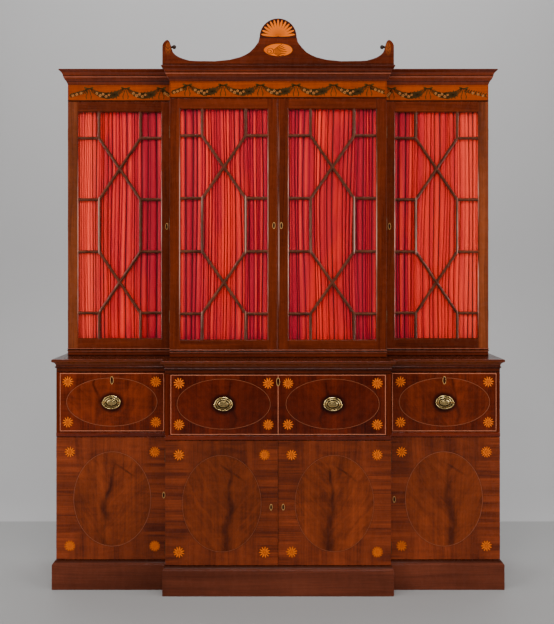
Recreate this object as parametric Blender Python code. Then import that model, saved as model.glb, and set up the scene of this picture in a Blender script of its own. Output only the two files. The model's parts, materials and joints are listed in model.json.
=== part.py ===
"""Breakfront secretary bookcase: four glazed doors over a fitted secretary drawer.

Sizes are in metres, +Z is up and the front faces -Y.  The origin is on the floor,
under the middle of the whole bookcase.
"""

import math
from collections import namedtuple

import bmesh
import bpy
from mathutils import Matrix, Vector

# Clearances shared by all pieces
seat_gap = 0.0003
door_gap = 0.0006
slide_gap = 0.0012
overrun = 0.003

# Base case
case_width = 2.060
centre_width = 1.028
case_depth = 0.560
breakfront_step = 0.085
plinth_height = 0.133
plinth_reach = 0.0175
plinth_wall = 0.024
plinth_return_share = 0.66
board = 0.020
side_board = 0.014
divider_board = 0.020
divider_filler = 0.013
back_board = 0.010
back_groove = 0.003
plank_width = 0.129
cupboard_door_height = 0.567
door_foot_gap = 0.003
rail_height = 0.022
rail_bead_reach = 0.004
drawer_zone_height = 0.279
rail_to_drawer_gap = 0.002
top_moulding_height = 0.046
top_board_height = 0.014
top_nosing_reach = 0.020

# Upper case
upper_width = 2.028
upper_centre_width = 1.026
upper_setback = 0.165
upper_foot_height = 0.0365
upper_bead_reach = 0.003
glazed_door_height = 1.187
upper_top_board = 0.018
upper_side_board = 0.018
frieze_height = 0.080
cornice_height = 0.071
cornice_reach = 0.037
crown_wall = 0.022
crown_panel = 0.012
shelf_board = 0.018
shelf_setback = 0.030
shelves_per_bay = 2

# Pediment
pediment_width = 1.088
pediment_height = 0.219
pediment_board = 0.022
pediment_setback = 0.005
fan_radius = 0.087
ear_knob_radius = 0.0066
ear_stem_radius = 0.0028
ear_stem_length = 0.018

# Doors and their hinges
door_board = 0.022
wing_door_gap = 0.002
meeting_gap = 0.0014
meeting_bead_width = 0.006
meeting_bead_reach = 0.002
sight_side = 0.050
sight_top = 0.050
sight_foot = 0.047
bar_width = 0.0135
bar_ridge = 0.005
bar_bevel = 0.005
glass_rebate = 0.012
glass_rebate_lap = 0.008
glass_thickness = 0.0025
hinge_offset = 0.0015
hinge_radius = 0.004
hinge_clearance = 0.0004
knuckle_length = 0.018
knuckle_gap = 0.0006

# Curtains
curtain_clear = 0.0006
curtain_cloth = 0.0009
curtain_folds = 26
curtain_fold_points = 4
curtain_fullness = 0.86
curtain_variety = 0.14
curtain_beat = 2.3

# Drawers and the secretary
drawer_front = 0.020
drawer_wall = 0.010
drawer_floor = 0.008
drawer_back_clearance = 0.045
drawer_side_drop = 0.018
fall_board = 0.022
secretary_floor = 0.012
secretary_wall = 0.012
secretary_back_clearance = 0.028
secretary_side_drop = 0.004
knee_gap = 0.0005
quadrant_radius = 0.120
quadrant_width = 0.012
quadrant_plate = 0.002
quadrant_clear = 0.0008

# Fitted interior of the secretary
writing_depth = 0.205
fitting_wall = 0.008
fitting_part = 0.006
fitting_back = 0.005
fitting_headroom = 0.004
side_bay_width = 0.276
small_drawer_height = 0.056
small_drawer_rows = 2
small_drawer_wall = 0.006
small_drawer_floor = 0.004
small_drawer_front = 0.010
small_drawer_gap = 0.0008
small_knob_radius = 0.006
small_knob_reach = 0.012
centre_holes = 3
side_holes = 2

# Handles
plate_width = 0.082
plate_height = 0.064
plate_thickness = 0.002
post_spacing = 0.069
post_radius = 0.0032
post_length = 0.020
post_collar_radius = 0.0044
post_collar_lead = 0.0015
post_flare = 0.001
post_tip_radius = 0.0022
bail_radius = 0.0019
bail_drop = 0.027
bail_stand = 0.011
eye_radius = 0.0038
eye_length = 0.0042
eye_gap = 0.0004
wing_handle_x = 0.773
wing_handle_drop = 0.001
centre_handle_x = 0.249
centre_handle_rise = 0.003

# Sides drawn on round shapes
fine_sides = 24
small_sides = 8
ball_sides = 12
rod_sides = 8
bail_steps = 14
arc_steps = 8
dome_steps = 18

# Heights worked out from the sizes above
base_floor_z = plinth_height + seat_gap
door_foot_z = plinth_height + door_foot_gap
door_head_z = door_foot_z + cupboard_door_height
rail_foot_z = door_head_z + rail_to_drawer_gap
rail_head_z = rail_foot_z + rail_height
drawer_foot_z = rail_head_z + rail_to_drawer_gap
base_head_z = rail_head_z + drawer_zone_height
base_top_z = base_head_z + top_moulding_height + top_board_height
upper_foot_z = base_top_z + seat_gap
glazed_foot_z = upper_foot_z + upper_foot_height + door_gap
glazed_head_z = glazed_foot_z + glazed_door_height
frieze_foot_z = glazed_head_z + door_gap
cornice_foot_z = frieze_foot_z + frieze_height
pediment_foot_z = cornice_foot_z + cornice_height + seat_gap
drawer_head_z = base_head_z - rail_to_drawer_gap

# Depths: the handles stand furthest forward, the back is flat
handle_reach = plate_thickness + post_length
front_reach = max(handle_reach, top_nosing_reach, plinth_reach)
face_y = front_reach - (case_depth + front_reach) / 2
back_y = face_y + case_depth
board_back_y = back_y - back_board - seat_gap
drawer_box_length = (case_depth - breakfront_step - drawer_front - back_board
                     - drawer_back_clearance)
secretary_box_length = case_depth - fall_board - back_board - secretary_back_clearance

Case = namedtuple("Case", "half centre_half centre_front wing_front")
base = Case(case_width / 2, centre_width / 2, face_y, face_y + breakfront_step)
upper = Case(
    upper_width / 2,
    upper_centre_width / 2,
    face_y + upper_setback,
    face_y + upper_setback + breakfront_step,
)
sides = (("left", -1), ("right", 1))

# Finishes: colour, roughness, metallic
finishes = {
    "mahogany": ((0.20, 0.045, 0.012), 0.32, 0.0),
    "dark_mahogany": ((0.12, 0.022, 0.008), 0.35, 0.0),
    "carcass": ((0.27, 0.13, 0.06), 0.60, 0.0),
    "satinwood": ((0.42, 0.15, 0.035), 0.32, 0.0),
    "oak": ((0.36, 0.21, 0.10), 0.62, 0.0),
    "brass": ((0.72, 0.52, 0.24), 0.30, 1.0),
    "glass": ((0.90, 0.93, 0.92), 0.05, 0.0),
    "silk": ((0.62, 0.02, 0.03), 0.55, 0.0),
}


def finish_material(name, finish):
    """One material for one piece, with the colour of the finish it is given."""
    colour, roughness, metallic = finishes[finish]
    material = bpy.data.materials.new(name)
    material.use_nodes = True
    shader = material.node_tree.nodes["Principled BSDF"]
    shader.inputs["Base Color"].default_value = (*colour, 1.0)
    shader.inputs["Roughness"].default_value = roughness
    shader.inputs["Metallic"].default_value = metallic
    material.diffuse_color = (*colour, 1.0)
    return material


def add_object(name, shape):
    """Puts a shape into the scene as an object at the origin."""
    bmesh.ops.recalc_face_normals(shape, faces=shape.faces)
    mesh = bpy.data.meshes.new(name)
    shape.to_mesh(mesh)
    shape.free()
    piece = bpy.data.objects.new(name, mesh)
    bpy.context.collection.objects.link(piece)
    return piece


def add_piece(name, shape, finish, origin=(0, 0, 0), parent=None, smooth=False):
    """A finished piece, with its origin on its joint and its place kept under a parent."""
    origin = Vector(origin)
    bmesh.ops.translate(shape, verts=shape.verts, vec=-origin)
    piece = add_object(name, shape)
    piece.data.materials.append(finish_material(name, finish))
    piece.location = origin
    if smooth:
        piece.data.shade_smooth()
        piece.data.set_sharp_from_angle(angle=math.radians(35))
    if parent is not None:
        piece.parent = parent
        piece.location = origin - parent_place(parent)
    return piece


def parent_place(piece):
    """Where an object's origin is in the world, through its parents."""
    place = Vector(piece.location)
    while piece.parent is not None:
        piece = piece.parent
        place = place + Vector(piece.location)
    return place


def block(x_span, y_span, z_span):
    """A box between two values on each axis, given in either order."""
    shape = bmesh.new()
    bmesh.ops.create_cube(shape, size=1)
    spans = (x_span, y_span, z_span)
    sizes = Vector([abs(high - low) for low, high in spans])
    middle = Vector([(low + high) / 2 for low, high in spans])
    bmesh.ops.transform(shape, matrix=Matrix.Translation(middle) @ Matrix.Diagonal(sizes).to_4x4(),
                        verts=shape.verts)
    return shape


def rod(radius, span, axis="z", at=(0, 0), sides_drawn=small_sides, end_radius=None):
    """A round bar along an axis, between the two values of its span."""
    shape = bmesh.new()
    low, high = sorted(span)
    bmesh.ops.create_cone(shape, cap_ends=True, segments=sides_drawn, radius1=radius,
                          radius2=radius if end_radius is None else end_radius, depth=high - low)
    middle = (low + high) / 2
    if axis == "x":
        place = Matrix.Translation((middle, *at)) @ Matrix.Rotation(math.pi / 2, 4, "Y")
    elif axis == "y":
        place = Matrix.Translation((at[0], middle, at[1])) @ Matrix.Rotation(math.pi / 2, 4, "X")
    else:
        place = Matrix.Translation((*at, middle))
    bmesh.ops.transform(shape, matrix=place, verts=shape.verts)
    return shape


def ball(radius, centre):
    """A round knob, upright on its poles."""
    shape = bmesh.new()
    bmesh.ops.create_uvsphere(shape, u_segments=ball_sides, v_segments=small_sides, radius=radius)
    bmesh.ops.translate(shape, verts=shape.verts, vec=centre)
    return shape


def extruded(points, span, axis):
    """A flat outline drawn out along an axis: x takes (y, z), y takes (x, z), z takes (x, y)."""
    low, high = sorted(span)
    place = {
        "x": lambda point: (low, point[0], point[1]),
        "y": lambda point: (point[0], low, point[1]),
        "z": lambda point: (point[0], point[1], low),
    }[axis]
    direction = {"x": Vector((1, 0, 0)), "y": Vector((0, 1, 0)), "z": Vector((0, 0, 1))}[axis]
    shape = bmesh.new()
    face = shape.faces.new([shape.verts.new(place(point)) for point in points])
    drawn = bmesh.ops.extrude_face_region(shape, geom=[face], use_keep_orig=True)
    moved = [item for item in drawn["geom"] if isinstance(item, bmesh.types.BMVert)]
    bmesh.ops.translate(shape, verts=moved, vec=direction * (high - low))
    return shape


def lofted(rings, closed=False):
    """A skin over rings of points, with a face on each end unless the rings close up."""
    shape = bmesh.new()
    loops = [[shape.verts.new(point) for point in ring] for ring in rings]
    pairs = list(zip(loops, loops[1:]))
    if closed:
        pairs.append((loops[-1], loops[0]))
    for first, second in pairs:
        count = len(first)
        for index in range(count):
            after = (index + 1) % count
            shape.faces.new((first[index], first[after], second[after], second[index]))
    if not closed:
        shape.faces.new(loops[0])
        shape.faces.new(loops[-1])
    return shape


def together(shapes):
    """Several shapes that don't touch, gathered into one for a single cut."""
    gathered = bmesh.new()
    for shape in shapes:
        mesh = bpy.data.meshes.new("gathered")
        shape.to_mesh(mesh)
        shape.free()
        gathered.from_mesh(mesh)
        bpy.data.meshes.remove(mesh)
    bmesh.ops.recalc_face_normals(gathered, faces=gathered.faces)
    return gathered


def worked(stock, joined=(), cut=()):
    """Stock with shapes fused on and then shapes cut away, as one solid."""
    target = add_object("stock", stock)
    tools = []
    steps = [(shape, "UNION") for shape in joined] + [(shape, "DIFFERENCE") for shape in cut]
    for shape, operation in steps:
        tool = add_object("tool", shape)
        tools.append(tool)
        step = target.modifiers.new(operation, "BOOLEAN")
        step.object = tool
        step.operation = operation
        step.solver = "EXACT"
    result = bmesh.new()
    result.from_object(target, bpy.context.evaluated_depsgraph_get())
    for piece in [target, *tools]:
        mesh = piece.data
        bpy.data.objects.remove(piece)
        bpy.data.meshes.remove(mesh)
    return result


def breakfront(case, reach=0, front=0, back=back_y, return_share=1):
    """Plan of a case that stands forward in its middle: reach goes out all round, front in."""
    side = case.half + reach
    centre = case.centre_half + reach * return_share
    wing_y = case.wing_front - reach + front
    centre_y = case.centre_front - reach + front
    left = [(-side, back), (-side, wing_y), (-centre, wing_y), (-centre, centre_y)]
    return left + [(-x, y) for x, y in reversed(left)]


def moulded(case, profile, back=back_y, return_share=1):
    """A solid whose edge follows a profile of (reach, height) round the front and ends."""
    rings = []
    for reach, height in profile:
        plan = breakfront(case, reach, back=back, return_share=return_share)
        rings.append([(x, y, height) for x, y in plan])
    return lofted(rings)


def scaled_profile(shares, reach, foot, height):
    """Turns a table of shares into reaches and heights."""
    return [(reach * across, foot + height * up) for across, up in shares]


# Outlines as shares of the size that they follow
plinth_profile_shares = ((1, 0), (1, 0.87), (0.78, 0.89), (0.66, 0.93), (0.40, 0.97), (0.20, 1))
top_moulding_shares = ((0, 0), (0, 0.40), (0.20, 0.42), (0.28, 0.50), (0.20, 0.58), (0.08, 0.60),
                       (0.10, 0.72), (0.24, 0.84), (0.46, 0.94), (0.72, 1))
nosing_shares = ((0.82, 0.0), (0.95, 0.16), (1, 0.5), (0.95, 0.84), (0.82, 1))
foot_bead_shares = ((0, 0), (0, 0.62), (1, 0.66), (1, 0.72), (0, 0.76), (0, 0.86), (1, 0.89),
                    (1, 0.95), (0, 0.98), (0, 1))
cornice_shares = ((0, 0), (0.05, 0.10), (0.18, 0.25), (0.40, 0.38), (0.40, 0.45), (0.49, 0.46),
                  (0.49, 0.54), (0.54, 0.57), (0.58, 0.68), (0.70, 0.80), (0.88, 0.88), (1, 0.92),
                  (1, 1))
rail_bead_shares = ((0, 0), (0.55, 0.08), (1, 0.30), (1, 0.70), (0.55, 0.92), (0, 1))
swan_shares = ((1, 0), (1, 0.415), (0.994, 0.462), (0.983, 0.500), (0.969, 0.530), (0.956, 0.541),
               (0.944, 0.525), (0.935, 0.488), (0.927, 0.430), (0.918, 0.338), (0.907, 0.271),
               (0.886, 0.218), (0.856, 0.170), (0.816, 0.131), (0.765, 0.096),
               (0.711, 0.087), (0.544, 0.082), (0.419, 0.114), (0.329, 0.169), (0.287, 0.215),
               (0.246, 0.274), (0.204, 0.379), (0.171, 0.489))
ear_knob_across_share = 0.8965
ear_knob_up_share = 0.395


hinge_inset_share = 0.13


def hinge_heights(foot, head, count):
    """Middle heights of the hinges on a door: one near each end, the rest between."""
    inset = (head - foot) * hinge_inset_share
    return [foot + inset + (head - foot - 2 * inset) * index / (count - 1) for index in range(count)]


cupboard_hinges = hinge_heights(door_foot_z, door_head_z, 2)
glazed_hinges = hinge_heights(glazed_foot_z, glazed_head_z, 3)


def barrel(x, y, middle, places, radius, lengthened=0):
    """Hinge knuckles on one axis; places counts knuckles up or down from the middle one."""
    knuckles = []
    for place in places:
        centre = middle + place * (knuckle_length + knuckle_gap)
        half = knuckle_length / 2 + lengthened
        knuckles.append(rod(radius, (centre - half, centre + half), at=(x, y)))
    return knuckles


def knuckles_on_case(x, y, heights):
    """The outer knuckles that a case board carries, and the room for the door's own."""
    carried = [shape for height in heights for shape in barrel(x, y, height, (-1, 1), hinge_radius)]
    room = [shape for height in heights
            for shape in barrel(x, y, height, (0,), hinge_radius + hinge_clearance, knuckle_gap / 2)]
    return together(carried), together(room)


def knuckles_on_door(x, y, heights):
    """The middle knuckle that a door carries, and the room for those on the case."""
    carried = [shape for height in heights for shape in barrel(x, y, height, (0,), hinge_radius)]
    room = [shape for height in heights
            for shape in barrel(x, y, height, (-1, 1), hinge_radius + hinge_clearance, knuckle_gap / 2)]
    return together(carried), together(room)


def hinge_x(outer, sign):
    """Hinge axes stand just outside the outer edge of their door."""
    return sign * (outer + hinge_offset)


def door_back(front_y):
    """Where the back of a door closes against its case."""
    return front_y + door_board


def side_outline(front_y, foot, head, notch_head):
    """Side of the base: full depth above, set back for the door below."""
    seat_y = door_back(front_y) + door_gap
    return [(seat_y, foot), (board_back_y, foot), (board_back_y, head), (front_y, head),
            (front_y, notch_head), (seat_y, notch_head)]


def build_plinth():
    profile = scaled_profile(plinth_profile_shares, plinth_reach, 0, plinth_height)
    stock = moulded(base, profile, return_share=plinth_return_share)
    well = extruded(breakfront(base, -plinth_wall, back=back_y - plinth_wall),
                    (-overrun, plinth_height + overrun), "z")
    add_piece("plinth", worked(stock, cut=[well]), "dark_mahogany")


def build_base_boards():
    floor_top = base_floor_z + board
    plan = breakfront(base, front=door_board + door_gap, back=board_back_y)
    add_piece("base_bottom", extruded(plan, (base_floor_z, floor_top), "z"), "mahogany")
    foot = floor_top + seat_gap
    head = base_head_z - seat_gap
    notch_head = rail_head_z + seat_gap
    for side, sign in sides:
        outline = side_outline(base.wing_front, foot, head, notch_head)
        stock = extruded(outline, (sign * base.half, sign * (base.half - side_board)), "x")
        carried, room = knuckles_on_case(hinge_x(base.half, sign), door_back(base.wing_front),
                                         cupboard_hinges)
        add_piece(f"base_side_{side}", worked(stock, [carried], [room]), "mahogany")
        add_piece(f"base_divider_{side}", base_divider(sign, foot, head, notch_head), "mahogany")
    build_back("base_back", base, base_floor_z, head)


def base_divider(sign, foot, head, notch_head):
    """Board between centre and wing, with a filler behind the wing's front."""
    inner = sign * (base.centre_half - divider_board)
    outer = sign * base.centre_half
    filler = sign * (base.centre_half + divider_filler)
    plan = [(inner, base.centre_front), (outer, base.centre_front), (outer, base.wing_front),
            (filler, base.wing_front), (filler, board_back_y), (inner, board_back_y)]
    stock = extruded(plan, (foot, head), "z")
    below = (foot - overrun, notch_head)
    centre_notch = block((inner - sign * overrun, outer + sign * overrun),
                         (base.centre_front - overrun, door_back(base.centre_front) + door_gap), below)
    wing_notch = block((outer, filler + sign * overrun),
                       (base.wing_front - overrun, door_back(base.wing_front) + door_gap), below)
    carried, room = knuckles_on_case(hinge_x(base.centre_half, sign), door_back(base.centre_front),
                                     cupboard_hinges)
    notched = worked(stock, cut=[centre_notch, wing_notch])
    return worked(notched, [carried], [room])


def build_back(name, case, foot, head):
    """Back of a case: planks with a V groove between them."""
    outline = [(-case.half, back_y)]
    planks = round(2 * case.half / plank_width)
    step = 2 * case.half / planks
    for index in range(1, planks):
        x = -case.half + index * step
        outline += [(x - back_groove, back_y), (x, back_y - back_groove), (x + back_groove, back_y)]
    outline += [(case.half, back_y), (case.half, back_y - back_board), (-case.half, back_y - back_board)]
    add_piece(name, extruded(outline, (foot, head), "z"), "oak")


def rail_outline(front_y):
    """Dust board from the side: a beaded rail in front of a plain board."""
    bead = [(front_y - rail_bead_reach * out, rail_foot_z + rail_height * up)
            for out, up in rail_bead_shares]
    return [(board_back_y, rail_foot_z)] + bead + [(board_back_y, rail_head_z)]


def build_dustboards():
    """The rail runs across the ends of the upright boards, the board behind fits between them."""
    wing_outer = base.half
    wing_inner = base.centre_half + wing_door_gap
    notch_height = (rail_foot_z - overrun, rail_head_z + overrun)
    for side, sign in sides:
        stock = extruded(rail_outline(base.wing_front), (sign * wing_outer, sign * wing_inner), "x")
        behind = (door_back(base.wing_front), back_y)
        ends = [
            block((sign * (wing_outer + overrun), sign * (wing_outer - side_board - seat_gap)),
                  behind, notch_height),
            block((sign * (wing_inner - overrun),
                   sign * (base.centre_half + divider_filler + seat_gap)), behind, notch_height),
        ]
        add_piece(f"dustboard_{side}", worked(stock, cut=[together(ends)]), "mahogany")
    half = base.centre_half
    stock = extruded(rail_outline(base.centre_front), (-half, half), "x")
    behind = (door_back(base.centre_front), back_y)
    ends = [block((sign * (half + overrun), sign * (half - divider_board - seat_gap)),
                  behind, notch_height) for _, sign in sides]
    add_piece("dustboard_centre", worked(stock, cut=[together(ends)]), "mahogany")


def build_base_top():
    moulding = scaled_profile(top_moulding_shares, top_nosing_reach, base_head_z, top_moulding_height)
    nosing = scaled_profile(nosing_shares, top_nosing_reach, base_head_z + top_moulding_height,
                            top_board_height)
    add_piece("base_top", moulded(base, moulding + nosing), "mahogany")


def build_upper_boards():
    foot_profile = scaled_profile(foot_bead_shares, upper_bead_reach, upper_foot_z, upper_foot_height)
    add_piece("upper_bottom", moulded(upper, foot_profile, back=board_back_y), "mahogany")
    foot = upper_foot_z + upper_foot_height + seat_gap
    roof = frieze_foot_z - seat_gap
    head = roof - upper_top_board - seat_gap
    wing_seat_y = door_back(upper.wing_front) + door_gap
    for side, sign in sides:
        stock = block((sign * upper.half, sign * (upper.half - upper_side_board)),
                      (wing_seat_y, board_back_y), (foot, head))
        carried, room = knuckles_on_case(hinge_x(upper.half, sign), door_back(upper.wing_front),
                                         glazed_hinges)
        add_piece(f"upper_side_{side}", worked(stock, [carried], [room]), "mahogany")
        inner = sign * (upper.centre_half - divider_board)
        outer = sign * upper.centre_half
        filler = sign * (upper.centre_half + divider_filler)
        centre_seat_y = door_back(upper.centre_front) + door_gap
        plan = [(inner, centre_seat_y), (outer, centre_seat_y), (outer, wing_seat_y),
                (filler, wing_seat_y), (filler, board_back_y), (inner, board_back_y)]
        carried, room = knuckles_on_case(hinge_x(upper.centre_half, sign),
                                         door_back(upper.centre_front), glazed_hinges)
        add_piece(f"upper_divider_{side}",
                  worked(extruded(plan, (foot, head), "z"), [carried], [room]), "mahogany")
    plan = breakfront(upper, front=door_board + door_gap, back=board_back_y)
    add_piece("upper_top", extruded(plan, (roof - upper_top_board, roof), "z"), "mahogany")
    build_back("upper_back", upper, upper_foot_z, roof)
    build_shelves(foot, head)


def build_shelves(foot, head):
    """Fixed shelves behind each door, evenly spaced."""
    wing_span = (upper.half - upper_side_board - seat_gap,
                 upper.centre_half + divider_filler + seat_gap)
    centre_half = upper.centre_half - divider_board - seat_gap
    bays = [
        ("left", (-wing_span[0], -wing_span[1]), upper.wing_front),
        ("centre", (-centre_half, centre_half), upper.centre_front),
        ("right", wing_span, upper.wing_front),
    ]
    step = (head - foot + shelf_board) / (shelves_per_bay + 1)
    for bay, x_span, front_y in bays:
        y_span = (door_back(front_y) + shelf_setback, board_back_y)
        for index in range(shelves_per_bay):
            shelf_foot = foot + step * (index + 1) - shelf_board
            shelf = block(x_span, y_span, (shelf_foot, shelf_foot + shelf_board))
            add_piece(f"shelf_{bay}_{index + 1}", shelf, "mahogany")


def build_crown():
    frieze_profile = [(0, frieze_foot_z), (0, cornice_foot_z - seat_gap)]
    add_piece("frieze", moulded(upper, frieze_profile), "satinwood")
    stock = moulded(upper, scaled_profile(cornice_shares, cornice_reach, cornice_foot_z,
                                          cornice_height))
    well = extruded(breakfront(upper, -crown_wall, back=back_y - crown_wall),
                    (cornice_foot_z + crown_panel, cornice_foot_z + cornice_height + overrun), "z")
    add_piece("cornice", worked(stock, cut=[well]), "mahogany")
    build_pediment()


def build_pediment():
    """Crest board: two eared scrolls that rise to a fan-shaped dome."""
    half = pediment_width / 2
    left = [(-half * across, pediment_foot_z + pediment_height * up) for across, up in swan_shares]
    fan_z = pediment_foot_z + pediment_height - fan_radius
    left.append((-fan_radius, fan_z))
    dome = []
    for index in range(1, dome_steps):
        turn = math.pi * index / dome_steps
        dome.append((-fan_radius * math.cos(turn), fan_z + fan_radius * math.sin(turn)))
    right = [(-x, z) for x, z in reversed(left)]
    front_y = upper.centre_front - cornice_reach + pediment_setback
    depth = (front_y, front_y + pediment_board)
    stock = extruded(left + dome + right, depth, "y")
    knob_z = pediment_foot_z + pediment_height * ear_knob_up_share
    knob_y = (depth[0] + depth[1]) / 2
    for _, sign in sides:
        knob_x = sign * half * ear_knob_across_share
        stem = rod(ear_stem_radius, (knob_x, knob_x + sign * ear_stem_length), "x", (knob_y, knob_z))
        stock = worked(stock, [ball(ear_knob_radius, (knob_x, knob_y, knob_z)), stem])
    add_piece("pediment", stock, "mahogany", smooth=True)


# Glazing bars, as shares of the sight opening from its top left corner
bar_row_shares = (0.114, 0.386, 0.617, 0.888)
bar_column_shares = (0.25, 0.75)
middle_share = 0.5
bar_lead_share = 0.2


def pane_shares():
    """The thirteen panes: crossed bars above and below a tall six-sided pane."""
    top, high, low, foot = bar_row_shares
    left, right = bar_column_shares
    upper_cross = (middle_share, (top + high) / 2)
    lower_cross = (middle_share, (low + foot) / 2)
    edge = [
        [(0, 0), (left, 0), (left, top), (0, top)],
        [(0, top), (left, top), upper_cross, (left, high), (0, high)],
        [(0, high), (left, high), (left, low), (0, low)],
        [(0, low), (left, low), lower_cross, (left, foot), (0, foot)],
        [(0, foot), (left, foot), (left, 1), (0, 1)],
    ]
    mirrored = [[(1 - across, down) for across, down in pane] for pane in edge]
    centre = [
        [(left, 0), (right, 0), (right, top), upper_cross, (left, top)],
        [(left, high), upper_cross, (right, high), (right, low), lower_cross, (left, low)],
        [(left, foot), lower_cross, (right, foot), (right, 1), (left, 1)],
    ]
    return edge + mirrored + centre


def inset_outline(points, insets):
    """A convex outline with each edge moved in by its own amount."""
    area = sum(a[0] * b[1] - b[0] * a[1] for a, b in zip(points, points[1:] + points[:1]))
    turn = 1 if area > 0 else -1
    lines = []
    for start, end, inset in zip(points, points[1:] + points[:1], insets):
        along = (Vector(end) - Vector(start)).normalized()
        inward = Vector((-along.y, along.x)) * turn
        lines.append((Vector(start) + inward * inset, along))
    moved = []
    for (first, first_way), (second, second_way) in zip(lines[-1:] + lines[:-1], lines):
        cross = first_way.x * second_way.y - first_way.y * second_way.x
        reach = ((second - first).x * second_way.y - (second - first).y * second_way.x) / cross
        moved.append(tuple(first + first_way * reach))
    return moved


def pane_cutters(x_span, z_span, front_y):
    """A cutter for each pane, wider at the front so that the bars rise to a ridge."""
    width = x_span[1] - x_span[0]
    height = z_span[1] - z_span[0]
    bevel = (bar_width - bar_ridge) / 2
    cutters = []
    for pane in pane_shares():
        points = [(x_span[0] + width * across, z_span[1] - height * down) for across, down in pane]
        insets = []
        for start, end in zip(pane, pane[1:] + pane[:1]):
            on_frame = any(start[axis] == end[axis] and start[axis] in (0, 1) for axis in (0, 1))
            insets.append(0 if on_frame else bar_width / 2)
        deep = inset_outline(points, insets)
        flare = bevel * (1 + bar_lead_share)
        wide = inset_outline(points, [inset - flare for inset in insets])
        rings = []
        for outline, y in ((wide, front_y - bar_bevel * bar_lead_share), (deep, front_y + bar_bevel),
                           (deep, front_y + door_board - glass_rebate + overrun)):
            rings.append([(x, y, z) for x, z in outline])
        cutters.append(lofted(rings))
    return together(cutters)


def door_places(case, front_gap):
    """The four doors of a case: name, hinge side, free side, sign and front."""
    places = []
    for side, sign in sides:
        places.append((f"wing_{side}", sign * case.half, sign * (case.centre_half + front_gap),
                       sign, case.wing_front))
        places.append((f"centre_{side}", sign * case.centre_half, sign * meeting_gap / 2,
                       sign, case.centre_front))
    return places


def meeting_bead(free_x, sign, front_y, z_span):
    """A round bead on the meeting edge of the left-hand centre door."""
    radius = meeting_bead_width / 2
    return rod(radius, z_span, at=(free_x + sign * radius, front_y + radius - meeting_bead_reach))


def door_stock(name, hinge_edge, free_edge, sign, front_y, z_span, heights, cuts=()):
    """A door board with its hinge knuckles, and its bead if it is the one that carries it."""
    axis_x = sign * (abs(hinge_edge) + hinge_offset)
    stock = block((hinge_edge, free_edge), (front_y, door_back(front_y)), z_span)
    carried, room = knuckles_on_door(axis_x, door_back(front_y), heights)
    joined = [carried]
    if name == "centre_left":
        joined.append(meeting_bead(free_edge, sign, front_y, z_span))
    shape = worked(stock, joined, [room, *cuts])
    return shape, (axis_x, door_back(front_y), z_span[0])


def build_cupboard_doors():
    for name, hinge_edge, free_edge, sign, front_y in door_places(base, wing_door_gap):
        shape, axis = door_stock(name, hinge_edge, free_edge, sign, front_y,
                                 (door_foot_z, door_head_z), cupboard_hinges)
        add_piece(f"cupboard_door_{name}", shape, "mahogany", axis)


def build_glazed_doors():
    for name, hinge_edge, free_edge, sign, front_y in door_places(upper, wing_door_gap):
        low, high = sorted((hinge_edge, free_edge))
        x_span = (low + sight_side, high - sight_side)
        z_span = (glazed_foot_z + sight_foot, glazed_head_z - sight_top)
        rebate_y = door_back(front_y) - glass_rebate
        rebate = block((x_span[0] - glass_rebate_lap, x_span[1] + glass_rebate_lap),
                       (rebate_y, door_back(front_y) + overrun),
                       (z_span[0] - glass_rebate_lap, z_span[1] + glass_rebate_lap))
        shape, axis = door_stock(name, hinge_edge, free_edge, sign, front_y,
                                 (glazed_foot_z, glazed_head_z), glazed_hinges,
                                 [pane_cutters(x_span, z_span, front_y), rebate])
        door = add_piece(f"glazed_door_{name}", shape, "mahogany", axis)
        lap = glass_rebate_lap - seat_gap
        across = (x_span[0] - lap, x_span[1] + lap)
        upright = (z_span[0] - lap, z_span[1] + lap)
        glass_y = rebate_y + seat_gap
        pane = block(across, (glass_y, glass_y + glass_thickness), upright)
        add_piece(f"glass_{name}", pane, "glass", axis, door)
        cloth = (glass_y + glass_thickness + curtain_clear, door_back(front_y) - curtain_clear)
        add_piece(f"curtain_{name}", curtain(across, cloth, upright), "silk", axis, door, True)


def curtain(x_span, y_span, z_span):
    """Gathered silk: upright folds, some fuller than others, in one closed sheet."""
    count = curtain_folds * curtain_fold_points
    phase = math.pi / curtain_fold_points
    depth = (y_span[1] - y_span[0] - curtain_cloth) / 2 / math.cos(phase)
    middle = (y_span[0] + y_span[1]) / 2
    front = []
    for index in range(count + 1):
        turn = 2 * math.pi * index / curtain_fold_points + phase
        fold = index // curtain_fold_points
        fullness = curtain_fullness + curtain_variety * math.sin(fold * curtain_beat)
        x = x_span[0] + (x_span[1] - x_span[0]) * index / count
        front.append((x, middle + depth * fullness * math.sin(turn) - curtain_cloth / 2))
    back = [(x, y + curtain_cloth) for x, y in reversed(front)]
    return extruded(front + back, z_span, "z")


def build_drawers():
    """A plain drawer in each wing: the box sits on its dust board behind an inset front."""
    for side, sign in sides:
        outer = base.half - side_board - slide_gap
        inner = base.centre_half + divider_filler + slide_gap
        x_span = (sign * outer, sign * inner)
        front_y = base.wing_front
        front = block(x_span, (front_y, front_y + drawer_front), (drawer_foot_z, drawer_head_z))
        foot = rail_head_z + seat_gap
        head = drawer_head_z - drawer_side_drop
        box_y = (front_y + drawer_front / 2, front_y + drawer_front + drawer_box_length)
        box = block(x_span, box_y, (foot, head))
        well_span = (sign * (outer - drawer_wall), sign * (inner + drawer_wall))
        well = block(well_span, (front_y + drawer_front, box_y[1] - drawer_wall),
                     (foot + drawer_floor, head + overrun))
        add_piece(f"drawer_{side}", worked(front, [box], [well]), "mahogany",
                  (sign * wing_handle_x, front_y, drawer_foot_z))


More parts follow.
